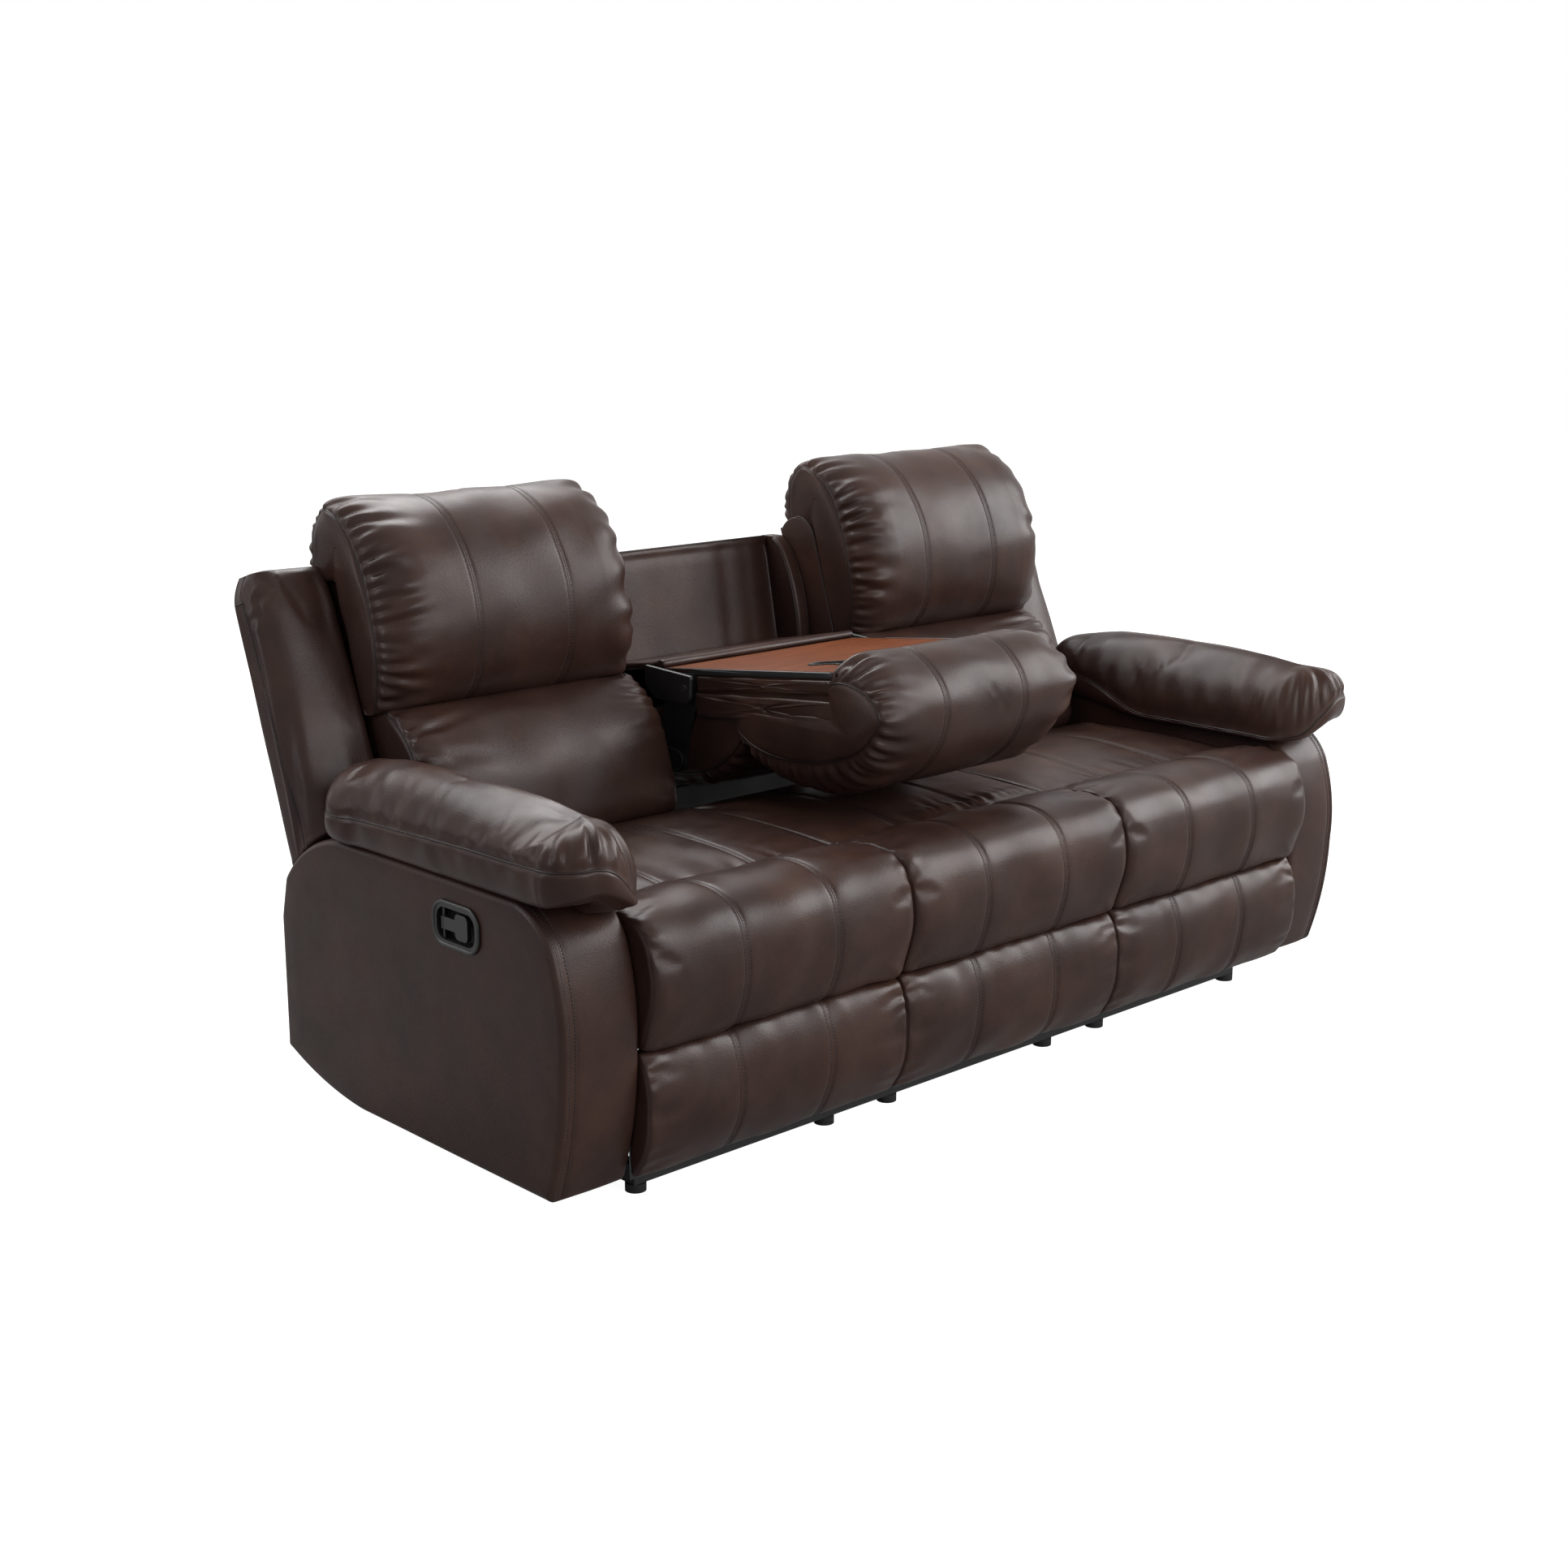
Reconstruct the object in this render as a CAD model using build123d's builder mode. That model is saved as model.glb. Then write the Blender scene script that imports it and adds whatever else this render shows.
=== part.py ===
"""Three-seat reclining sofa whose centre back drops forward as a console.

Millimetres. Origin at the middle of the footprint on the floor. The sofa faces -Y, +X is to the
right of someone looking at its front, +Z is up. Modelled as shown: end seats closed, centre back
dropped. Pieces of an end seat are drawn for the right seat and mirrored for the left.
"""

from build123d import *
import os
from math import asin, atan2, cos, degrees, hypot, radians, sin, sqrt, tan

os.makedirs("parts", exist_ok=True)

# ------------------------------------------------------------------ overall widths
overall_width = 2000.0
arm_width = 151.0
centre_seat_width = 562.0
arm_outer = overall_width / 2
arm_inner = arm_outer - arm_width
centre_half = centre_seat_width / 2

# ------------------------------------------------------------------ clearances
soft_gap = 0.4        # between a cushion and a neighbour it rests on
slide_gap = 1.0       # each side of a seat that slides between its neighbours
pin_gap = 0.08        # radial, hinge pin in its hole
plate_gap = 1.5       # between links that pass one another
rivet_proud = 0.7     # how far a rivet stands out of the plate it turns in

# ------------------------------------------------------------------ base
foot_height = 14.0
foot_diameter = 35.0
rail_height = 30.0
rail_width = 25.0
front_rail_y = -348.0
rear_rail_y = 312.0
outer_rail_x = arm_inner - 66.0       # side rail under the outer recliner plate
inner_rail_x = centre_half + 83.0
centre_rail_x = centre_half - 71.0
rail_top = foot_height + rail_height

# ------------------------------------------------------------------ seats
seat_top = 475.0
seat_frame_top = 374.0
seat_frame_depth = 74.0
frame_board = 30.0
spring_wire = 4.0
seat_front_y = -488.0
roll_crease_y = -280.0
seat_frame_front_y = -401.5
seat_frame_rear_y = 150.0
roll_bottom = 272.0
panel_top = 256.0
panel_bottom = 62.0
panel_face_y = -470.0
panel_board = 15.0
panel_board_y = -415.0
cushion_bottom = seat_frame_top + spring_wire + soft_gap

# ------------------------------------------------------------------ back
back_pivot_y = 162.0          # the point that the console swings about
back_pivot_z = 539.0
back_lean = 73.4              # from the horizontal, upright
console_drop = 100.0
back_height = 440.0           # frame top, measured up the back from the pivot
frame_face = 96.0             # frame's front face, behind the pivot
frame_depth = 75.0
cushion_back = frame_face - soft_gap
head_crease = 178.0
head_rise = 119.0             # head cushion's top above the frame's top
head_top = back_height + head_rise
head_seat = 10.0              # fold that the roll rests on, above the frame's top
head_bulge = 54.0
head_rear = 201.0             # back of the roll, behind the pivot
lumbar_bulge = 56.0
lumbar_bottom = 95.0
lumbar_radius = 97.0          # nothing of the lumbar's lower front reaches past this
head_inner_x = centre_half + 12.0
head_outer_x = arm_inner - 9.0
lumbar_side_gap = 2.0         # lumbar to the inside of the arm pad
wing_inner_x = arm_inner + 11.0
wing_outer_x = arm_outer - 10.0
wing_gap = 0.3                # wing to the edge of the panel that it is tacked to
shell_inner_x = centre_half + 10.5
shell_board = 15.0

# ------------------------------------------------------------------ console
console_half = centre_half - 31.0
console_wall = 20.0
console_floor = 6.0
console_rear = 30.0           # how far the box reaches behind the pivot's foot
tray_thickness = 12.0
tray_ledge = 10.0
console_head_half = console_half + 5.0
console_lumbar_half = console_half - 4.0
cup_spacing = 210.0
cup_from_front = 86.0         # cup's middle to the box's front end
cup_along = back_height - cup_from_front
cup_radius = 41.0
cup_wall = 2.0
cup_depth = 58.0
cup_rim = 7.0
cup_rim_thickness = 2.0
mug_slot_width = 34.0
mug_slot_reach = 88.0
mug_slot_turn = 30.0
hinge_plate = 4.0
console_pin_radius = 8.0

# ------------------------------------------------------------------ fixed centre back
panel_lean = 79.6
rear_panel_y = 430.0          # panel's front face at the flap's hinge
flap_hinge_z = 674.0
rear_panel_top = 886.0
rear_panel_bottom = 400.0
rear_panel_thickness = 16.0
rear_panel_half = console_half + 4.0
post_width = 30.0
post_depth = 30.0
rear_board_y = 310.0
rear_board_low = 357.0
rear_board_high = 438.0
rear_board_half = console_half - 18.0
rear_board_thickness = 18.0
flap_half = console_half - 1.0
flap_thickness = 12.0
flap_length = 219.0
flap_rod_radius = 3.0
cheek_proud = 62.0

# ------------------------------------------------------------------ arms
arm_front_y = -449.0
arm_rear_y = 341.0
arm_top = 522.0
arm_bottom = 57.0
arm_wall = 26.0
arm_frame_front_y = -330.0
arm_frame_rear_y = 200.0
arm_frame_low = 70.0
arm_frame_high = 480.0
arm_frame_width = 60.0
arm_rail = 42.0
pad_overhang_out = 12.0
pad_overhang_in = 19.0
pad_front_y = -482.0
pad_rear_y = 206.0
pad_crown = 655.0

# ------------------------------------------------------------------ pull handle
bezel_y = -189.5
bezel_z = 448.5
bezel_length = 121.0
bezel_height = 73.0
bezel_round = 30.0
bezel_flange = 3.0
bezel_depth = 20.0
bezel_wall = 2.0
bezel_lip = 8.0
handle_thickness = 8.0
handle_inset = 2.0
handle_neck_height = 20.0
handle_paddle_height = 42.0
handle_paddle_length = 33.0
handle_pin_y = -152.0
handle_pin_radius = 2.5
handle_pin_half = 26.0
handle_knuckle_radius = 5.0
cable_radius = 2.5
cable_bend = 35.0

# ------------------------------------------------------------------ recliner mechanism
plate_thickness = 4.0
plate_front_y = -345.0
plate_rear_y = 214.0
plate_top = 340.0
runner_height = 12.0
runner_width = 20.0
recline_pivot_y = 190.0
recline_pivot_z = 280.0
link_width = 24.0
link_pin_radius = 5.0
link_root = (-320.0, 240.0)   # lever's fixed pivot on the side plate
link_elbow = (-207.5, 106.0)  # pivot between the two links
link_tip = (-386.0, 150.0)    # pivot on the footrest bracket

# ------------------------------------------------------------------ seams
seam_half = 15.0
seam_depth = 6.0
end_seams = (arm_inner - 387.0, arm_inner - 187.0)
centre_seams = (-102.0, 102.0)


def side_outline(path):
    """Closed outline from corner points; a pair (through, corner) is an arc to that corner."""
    with BuildLine() as edge:
        here = path[0]
        for step in path[1:]:
            if isinstance(step[0], tuple):
                through, there = step
                ThreePointArc(here, through, there)
            else:
                there = step
                Line(here, there)
            here = there
        if here != path[0]:
            Line(here, path[0])
    return edge.line


def slab(path, low_x, high_x):
    """Side outline (y, z) pulled along X from low_x to high_x."""
    with BuildPart() as piece:
        with BuildSketch(Plane.YZ.offset(low_x)):
            make_face(side_outline(path).edges())
        extrude(amount=high_x - low_x)
    return piece


def block(low, high):
    """Square block between two corners."""
    size = [top - bottom for bottom, top in zip(low, high)]
    with BuildPart() as piece:
        with BuildSketch(Plane.XY.offset(low[2])):
            with Locations(((low[0] + high[0]) / 2, (low[1] + high[1]) / 2)):
                Rectangle(size[0], size[1])
        extrude(amount=size[2])
    return piece


def solids_of(piece):
    """The piece's solids, whether it is still a builder or already a group."""
    return (piece.part if isinstance(piece, BuildPart) else piece).solids()


def group(*pieces):
    """Several pieces as the separate solids of one node, face to face but not fused."""
    return Compound([solid for piece in pieces for solid in solids_of(piece)])


def mirrored(piece):
    """The piece's twin on the other side of the sofa."""
    return group(*[mirror(solid, about=Plane.YZ) for solid in solids_of(piece)])


def both_sides(piece):
    return group(piece, mirrored(piece))


def save(piece, label):
    shape = piece.part if isinstance(piece, BuildPart) else piece
    shape.label = label
    export_step(shape, f"parts/{label}.step")


def save_pair(piece, label):
    """Right-hand piece as drawn, and its mirror for the left."""
    save(piece, f"{label}_right")
    save(mirrored(piece), f"{label}_left")


def on_back(up, behind, lean=back_lean):
    """Point of the back: up the back from the pivot, and behind the pivot, as (y, z)."""
    turn = radians(lean)
    return (
        back_pivot_y + up * cos(turn) + behind * sin(turn),
        back_pivot_z + up * sin(turn) - behind * cos(turn),
    )


def lean_path(path, lean):
    """A path given up and behind the pivot, turned to its lean."""
    turned = []
    for step in path:
        if isinstance(step[0], tuple):
            turned.append((on_back(*step[0], lean), on_back(*step[1], lean)))
        else:
            turned.append(on_back(*step, lean))
    return turned


def pulled_in(path, anchor, share):
    """A path drawn towards its anchor: share is the part of each direction that is kept."""

    def pull(point):
        return tuple(a + (p - a) * k for p, a, k in zip(point, anchor, share))

    return [
        (pull(step[0]), pull(step[1])) if isinstance(step[0], tuple) else pull(step)
        for step in path
    ]


def stations(low, high, seams, draw, reach):
    """Rows (x, inset) across a cushion: rounded ends drawn in, and a valley at each seam."""
    rows = []
    for share in (0.0, 0.08, 0.25, 0.55, 1.0):
        inset = draw * (1 - sqrt(1 - (1 - share) ** 2))
        rows.append((low + reach * share, inset))
        rows.append((high - reach * share, inset))
    for seam in seams:
        rows.append((seam - seam_half, 0.0))
        rows.append((seam, seam_depth))
        rows.append((seam + seam_half, 0.0))
    return sorted(rows)


def cushion(path, rows, anchor, depth, lean=None):
    """Loft across X: each row keeps the path's shape, pulled in by its inset."""
    with BuildPart() as piece:
        for x, inset in rows:
            share = (1 - inset * depth[0], 1 - inset * depth[1])
            form = pulled_in(path, anchor, share)
            if lean is not None:
                form = lean_path(form, lean)
            with BuildSketch(Plane.YZ.offset(x)):
                make_face(side_outline(form).edges())
        loft(ruled=True)
    return piece


# ================================================================== base
def make_base():
    half_front = outer_rail_x + rail_width / 2
    front = block(
        (-half_front, front_rail_y - rail_width / 2, foot_height),
        (half_front, front_rail_y + rail_width / 2, rail_top),
    )
    rear = block(
        (-half_front, rear_rail_y - rail_width / 2, foot_height),
        (half_front, rear_rail_y + rail_width / 2, rail_top),
    )
    save(group(front, rear), "base_cross_rails")

    rails = []
    for x in (outer_rail_x, inner_rail_x, centre_rail_x):
        rail = block(
            (x - rail_width / 2, front_rail_y + rail_width / 2, foot_height),
            (x + rail_width / 2, rear_rail_y - rail_width / 2, rail_top),
        )
        rails.append(both_sides(rail))
    save(group(*rails), "base_side_rails")

    with BuildPart() as feet:
        with BuildSketch():
            for x in (outer_rail_x, inner_rail_x, centre_rail_x):
                with Locations(
                    (x, front_rail_y), (-x, front_rail_y), (x, rear_rail_y), (-x, rear_rail_y)
                ):
                    Circle(foot_diameter / 2)
        extrude(amount=foot_height)
    save(feet, "feet")


# ================================================================== seats
def roll_path():
    """Front roll: over the frame's front board, down its face to the lower edge."""
    face = seat_front_y
    board = seat_frame_front_y - soft_gap
    return [
        (roll_crease_y, cushion_bottom),
        (roll_crease_y, seat_top - 5),
        ((roll_crease_y - 62, seat_top + 12), (roll_crease_y - 130, seat_top + 14)),
        ((face + 30, seat_top - 4), (face + 8, seat_top - 50)),
        ((face, seat_top - 93), (face + 9, seat_top - 140)),
        (face + 31, roll_bottom),
        (board, roll_bottom),
        (board, cushion_bottom),
    ]


def cushion_path():
    """Seat cushion: crowned top, hollow at the rear where the lumbar swings past."""
    start = asin((back_pivot_z - seat_top + 4) / lumbar_radius)
    top = back_pivot_y - lumbar_radius * cos(start)
    rear = seat_frame_rear_y
    finish = atan2(sqrt(lumbar_radius**2 - (rear - back_pivot_y) ** 2), back_pivot_y - rear)
    middle = (start + finish) / 2
    hollow = [
        (back_pivot_y - lumbar_radius * cos(turn), back_pivot_z - lumbar_radius * sin(turn))
        for turn in (middle, finish)
    ]
    front = roll_crease_y + soft_gap + 0.6
    return [
        (front, cushion_bottom),
        (front, seat_top - 6),
        (((front + top) / 2, seat_top + 3), (top, seat_top - 4)),
        (hollow[0], hollow[1]),
        (rear, cushion_bottom),
    ]


def panel_path():
    """Lower front pad, bulging between its two rolled edges."""
    face = panel_face_y
    board = panel_board_y - soft_gap
    height = panel_top - panel_bottom
    middle = panel_bottom + height * 0.58
    return [
        (board, panel_bottom - 2),
        ((face + 44, panel_bottom - 2), (face + 34, panel_bottom + 8)),
        ((face + 6, panel_bottom + height * 0.3), (face, middle)),
        ((face + 2, panel_top - 36), (face + 16, panel_top - 4)),
        ((face + 26, panel_top + 5), (board, panel_top + 2)),
    ]


def make_seat(low, high, seams):
    """Roll, cushion and lower pad of one seat between two x positions."""
    height = seat_top - cushion_bottom
    rows = stations(low, high, seams, 20.0, 34.0)
    mid = (roll_crease_y + seat_frame_rear_y) / 2
    top = cushion(cushion_path(), rows, (mid, cushion_bottom), (0.0, 1 / height))
    anchor = (roll_crease_y, (seat_top + roll_bottom) / 2)
    span = (roll_crease_y - seat_front_y, seat_top - roll_bottom)
    roll = front_roll(rows, anchor, span)
    pad_span = panel_board_y - panel_face_y
    pad = cushion(
        panel_path(),
        rows,
        (panel_board_y - soft_gap, (panel_top + panel_bottom) / 2),
        (1 / pad_span, 0.35 / pad_span),
    )
    return top, roll, pad


def front_roll(rows, anchor, span):
    """Front roll with its outer face pulled in; the board side keeps its place."""
    board = seat_frame_front_y - soft_gap
    path = roll_path()
    with BuildPart() as piece:
        for x, inset in rows:
            share = (1 - inset / span[0], 1 - inset / span[1])
            form = pulled_in(path, anchor, share)
            form[0] = (roll_crease_y, cushion_bottom)
            form[-2] = (board, form[-2][1])
            form[-1] = (board, cushion_bottom)
            with BuildSketch(Plane.YZ.offset(x)):
                make_face(side_outline(form).edges())
        loft(ruled=True)
    return piece


def seat_springs(low, high, count):
    """Sinuous wire springs across the seat frame, lying on its front and rear boards."""
    front = seat_frame_front_y + 8
    rear = seat_frame_rear_y - 8
    swing = 18.0
    turns = 8
    pitch = (rear - front) / turns
    level = seat_frame_top + spring_wire / 2
    springs = []
    for number in range(count):
        x = low + (high - low) * (number + 0.5) / count
        with BuildPart() as spring:
            with BuildLine(Plane.XY.offset(level)):
                for turn in range(turns):
                    side = swing if turn % 2 else -swing
                    y = front + pitch * turn
                    ThreePointArc((x, y), (x + side, y + pitch / 2), (x, y + pitch))
            with BuildSketch(Plane(origin=(x, front, level), z_dir=spring_start(swing, pitch))):
                Circle(spring_wire / 2)
            sweep(transition=Transition.RIGHT)
        springs.append(spring)
    return group(*springs)


def spring_start(swing, pitch):
    """Direction in which the first half wave of a spring sets off."""
    radius = (swing**2 + (pitch / 2) ** 2) / (2 * swing)
    rise = radius - swing
    return (-(pitch / 2) / radius, -rise / radius if swing > radius else rise / radius, 0)


def frame_rails(low, high):
    """Front, rear and side boards of a seat frame; the side boards' outer faces are given."""
    base = seat_frame_top - seat_frame_depth
    front = block(
        (low, seat_frame_front_y, base), (high, seat_frame_front_y + frame_board, seat_frame_top)
    )
    rear = block(
        (low, seat_frame_rear_y - frame_board, base), (high, seat_frame_rear_y, seat_frame_top)
    )
    near = seat_frame_front_y + frame_board
    far = seat_frame_rear_y - frame_board
    sides = [
        block((low, near, base), (low + frame_board, far, seat_frame_top)),
        block((high - frame_board, near, base), (high, far, seat_frame_top)),
    ]
    return front, rear, *sides


def make_seats():
    low = centre_half + slide_gap
    high = arm_inner - slide_gap
    top, roll, pad = make_seat(low, high, end_seams)
    save_pair(top, "seat_cushion")
    save_pair(roll, "seat_roll")
    save_pair(pad, "footrest_pad")

    half = centre_half - slide_gap
    top, roll, pad = make_seat(-half, half, centre_seams)
    save(top, "centre_seat_cushion")
    save(roll, "centre_seat_roll")
    save(pad, "centre_front_pad")

    frame_low = inner_rail_x - plate_thickness / 2 - frame_board
    frame_high = outer_rail_x + plate_thickness / 2 + frame_board
    save_pair(group(*frame_rails(frame_low, frame_high)), "seat_frame")
    save_pair(
        seat_springs(frame_low + frame_board, frame_high - frame_board, 4), "seat_springs"
    )

    stand = centre_rail_x + rail_width / 2
    boards = []
    for low_x in (-stand, stand - frame_board):
        boards.append(
            block((low_x, seat_frame_front_y + frame_board, rail_top),
                  (low_x + frame_board, seat_frame_rear_y - frame_board,
                   seat_frame_top - seat_frame_depth))
        )
    front_board = block(
        (-stand, panel_board_y, panel_bottom + 8),
        (stand, panel_board_y + panel_board, panel_top - 8),
    )
    ties = both_sides(
        block((stand - frame_board, panel_board_y + panel_board, panel_bottom + 40),
              (stand, seat_frame_front_y + frame_board, panel_bottom + 80))
    )
    save(group(*frame_rails(-stand, stand), *boards, front_board, ties), "centre_seat_frame")
    save(seat_springs(-stand + frame_board, stand - frame_board, 4), "centre_seat_springs")


# ================================================================== backs
def head_path():
    """Head cushion, up and behind the pivot: a thick pillow rolled over the frame's top."""
    over = back_height + head_seat
    return [
        (head_crease + 12, cushion_back),
        (head_crease + 4, 34.0),
        ((head_crease + 36, -14.0), (head_crease + 86, -head_bulge + 13)),
        ((head_crease + 176, -head_bulge), (head_crease + 272, -head_bulge + 17)),
        ((head_top - 34, 22.0), (head_top, 88.0)),
        ((head_top - 14, 136.0), (head_top - 50, head_rear - 24)),
        ((head_top - 70, head_rear - 8), (over + 10, head_rear)),
        (over, head_rear - 9),
        (over, cushion_back),
    ]


def lumbar_path():
    """Lumbar cushion, from the seat to the crease under the head cushion."""
    return [
        (head_crease, cushion_back),
        (head_crease - 4, 34.0),
        ((head_crease - 60, -26.0), (56.0, -50.0)),
        ((-14.0, -lumbar_bulge), (-78.0, -44.0)),
        ((-92.0, -26.0), (-lumbar_bottom, 8.0)),
        (-lumbar_bottom + 6, cushion_back),
    ]


def make_head(low, high, seams, lean):
    """Head cushion between two x positions; its ends round back to the end seam."""
    depth = cushion_back + head_bulge
    rows = stations(low, high, seams, 66.0, 80.0)
    anchor = (head_crease + 150, cushion_back)
    return cushion(head_path(), rows, anchor, (0.4 / (head_top - head_crease), 1 / depth), lean)


def make_lumbar(low, high, lean):
    depth = cushion_back + lumbar_bulge
    rows = stations(low, high, (), 30.0, 45.0)
    anchor = (head_crease / 2, cushion_back)
    height = head_crease + lumbar_bottom
    return cushion(lumbar_path(), rows, anchor, (0.2 / height, 1 / depth), lean)


def back_slab(path, low_x, high_x, lean=back_lean):
    return slab(lean_path(path, lean), low_x, high_x)


def back_box(low, high, low_x, high_x, lean=back_lean):
    """Square-cornered piece of the back: low and high are (up, behind) corners."""
    path = [low, (high[0], low[1]), high, (low[0], high[1])]
    return back_slab(path, low_x, high_x, lean)


def make_backs():
    save_pair(make_head(head_inner_x, head_outer_x, end_seams, back_lean), "head_cushion")
    lumbar_outer_x = arm_inner - pad_overhang_in - lumbar_side_gap
    save_pair(make_lumbar(head_inner_x, lumbar_outer_x, back_lean), "lumbar_cushion")

    # wooden ladder frame: two stiles on the steel brackets, three rails between them
    bracket_out = outer_rail_x + plate_thickness / 2 + slide_gap + hinge_plate
    bracket_in = inner_rail_x - plate_thickness / 2 - slide_gap - hinge_plate
    stile_depth = 45.0
    stiles = [
        back_box((-40, frame_face), (back_height, frame_face + stile_depth), x, x + frame_board)
        for x in (bracket_out, bracket_in - frame_board)
    ]
    rails = [
        back_box((up, frame_face), (up + 40, frame_face + stile_depth), low_x, high_x)
        for up, low_x, high_x in (
            (-40.0, bracket_in + hinge_plate, bracket_out - hinge_plate),
            (170.0, bracket_in, bracket_out),
            (back_height - 40, bracket_in, bracket_out),
        )
    ]
    save_pair(group(*stiles, *rails), "back_frame")

    # outside back: a leather-covered panel with a side wall next to the console
    top = back_height - 8
    front_low = frame_face + stile_depth + 10
    front_high = front_low + 22
    skirt = -170.0
    slope = (front_high - front_low) / (top + 30)
    low_front = front_low + slope * (skirt + 30)
    panel = back_slab(
        [(-30, front_low), (top, front_high), (top, front_high + shell_board),
         (-30, front_low + shell_board)],
        shell_inner_x + 8,
        wing_inner_x - wing_gap,
    )
    apron = back_slab(
        [(skirt, low_front), (-30, front_low), (-30, front_low + shell_board),
         (skirt, low_front + shell_board)],
        shell_inner_x + 8,
        arm_inner - 4,
    )
    side = back_slab(
        [(-30, frame_face + 4), (120, frame_face + 10), (310, frame_face + 24),
         (top - 20, frame_face + 34), (top, frame_face + 56), (top, front_high + shell_board),
         (-30, front_low + shell_board)],
        shell_inner_x,
        shell_inner_x + 8,
    )
    tie_low, tie_high = back_height - 40, top - 4
    tie = back_slab(
        [(tie_low, frame_face + stile_depth), (tie_high, frame_face + stile_depth),
         (tie_high, front_high - slope * (top - tie_high)),
         (tie_low, front_high - slope * (top - tie_low))],
        bracket_in,
        bracket_out,
    )
    save_pair(group(panel, apron, side, tie), "back_shell")

    # padded wing beside the head cushion
    wing_path = [
        (14.0, 76.0),
        ((200.0, 92.0), (400.0, 118.0)),
        ((446.0, 132.0), (452.0, 162.0)),
        ((450.0, 184.0), (430.0, 189.0)),
        (-30.0, 166.0),
    ]
    rows = stations(wing_inner_x, wing_outer_x, (), 14.0, 24.0)
    depth = 100.0
    wing = cushion(wing_path, rows, (210.0, 170.0), (0.1 / depth, 1 / depth), back_lean)
    save_pair(wing, "back_wing")

    save_pair(back_brackets(bracket_out, bracket_in), "back_brackets")


def back_brackets(bracket_out, bracket_in):
    """Steel plates from the stiles down to the recline pins."""
    reach = hypot(recline_pivot_y - back_pivot_y, recline_pivot_z - back_pivot_z)
    turn = atan2(recline_pivot_z - back_pivot_z, recline_pivot_y - back_pivot_y)
    lean = radians(back_lean)
    up = reach * cos(turn - lean)
    behind = reach * sin(lean - turn)
    front = frame_face + 1
    half = link_width / 2
    plates = []
    for x in (bracket_out - hinge_plate, bracket_in):
        path = lean_path(
            [(up, behind - half), (-lumbar_bottom - 15, front), (60.0, front),
             (60.0, front + link_width), (-40.0, front + link_width), (up, behind + half)],
            back_lean,
        )
        with BuildPart() as plate:
            with BuildSketch(Plane.YZ.offset(x)):
                make_face(side_outline(path).edges())
                with Locations((recline_pivot_y, recline_pivot_z)):
                    Circle(link_width / 2)
                    Circle(link_pin_radius + pin_gap, mode=Mode.SUBTRACT)
            extrude(amount=hinge_plate)
        plates.append(plate)
    return group(*plates)


# ================================================================== recliner mechanism
def link(x, start, finish, start_hole, finish_hole, side):
    """Flat steel lever between two pivots; a hole at an end, or a rivet towards +-X."""
    length = hypot(finish[0] - start[0], finish[1] - start[1])
    turn = degrees(atan2(finish[1] - start[1], finish[0] - start[0]))
    middle = ((start[0] + finish[0]) / 2, (start[1] + finish[1]) / 2)
    with BuildPart() as lever:
        with BuildSketch(Plane.YZ.offset(x - plate_thickness / 2)):
            with Locations(Location(middle + (0,), (0, 0, turn))):
                SlotCenterToCenter(length, link_width)
            for point, hole in ((start, start_hole), (finish, finish_hole)):
                if hole:
                    with Locations(point):
                        Circle(link_pin_radius + pin_gap, mode=Mode.SUBTRACT)
        extrude(amount=plate_thickness)
        for point, hole in ((start, start_hole), (finish, finish_hole)):
            if not hole:
                reach = plate_gap + plate_thickness + rivet_proud
                base = x + side * plate_thickness / 2
                with BuildSketch(Plane.YZ.offset(min(base, base + side * reach))):
                    with Locations(point):
                        Circle(link_pin_radius)
                extrude(amount=reach)
    return lever


def make_mechanism():
    step = plate_thickness + plate_gap
    bottom = rail_top + soft_gap
    plates, levers, arms, brackets = [], [], [], []
    for x, side in ((outer_rail_x, -1), (inner_rail_x, 1)):
        outline = [
            (plate_front_y, 215.0),
            (plate_front_y, plate_top - 20),
            (plate_front_y + 20, plate_top),
            (seat_frame_rear_y - frame_board - 1, plate_top),
            (seat_frame_rear_y - frame_board - 1, seat_frame_top - seat_frame_depth - 1),
            (plate_rear_y, recline_pivot_z + 16),
            (plate_rear_y, recline_pivot_z - 24),
            (120.0, bottom + runner_height),
            (-235.0, bottom + runner_height),
        ]
        with BuildPart() as plate:
            with BuildSketch(Plane.YZ.offset(x - plate_thickness / 2)):
                make_face(side_outline(outline).edges())
                with Locations(link_root):
                    Circle(link_pin_radius + pin_gap, mode=Mode.SUBTRACT)
                with Locations((-100.0, 190.0)):
                    SlotOverall(180.0, 90.0, mode=Mode.SUBTRACT)
            extrude(amount=plate_thickness)
            with BuildSketch(Plane.XY.offset(bottom)):
                with Locations((x, (-235.0 + 120.0) / 2)):
                    Rectangle(runner_width, 120.0 + 235.0)
            extrude(amount=runner_height)
            # pin that carries the back bracket, towards the outside of the plate
            base = x - side * plate_thickness / 2
            reach = slide_gap + hinge_plate + 2
            with BuildSketch(Plane.YZ.offset(min(base, base - side * reach))):
                with Locations((recline_pivot_y, recline_pivot_z)):
                    Circle(link_pin_radius)
            extrude(amount=reach)
        plates.append(plate)
        levers.append(link(x + side * step, link_root, link_elbow, False, True, -side))
        arms.append(link(x + side * 2 * step, link_elbow, link_tip, False, True, -side))
        brackets.append(footrest_bracket(x + side * 3 * step, -side))
    save_pair(group(*plates), "mechanism_plates")
    save_pair(group(*levers), "footrest_link_a")
    save_pair(group(*arms), "footrest_link_b")

    board = block(
        (centre_half + 20, panel_board_y, panel_bottom + 8),
        (arm_inner - 20, panel_board_y + panel_board, panel_top - 8),
    )
    save_pair(group(board, *brackets), "footrest_frame")


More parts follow.
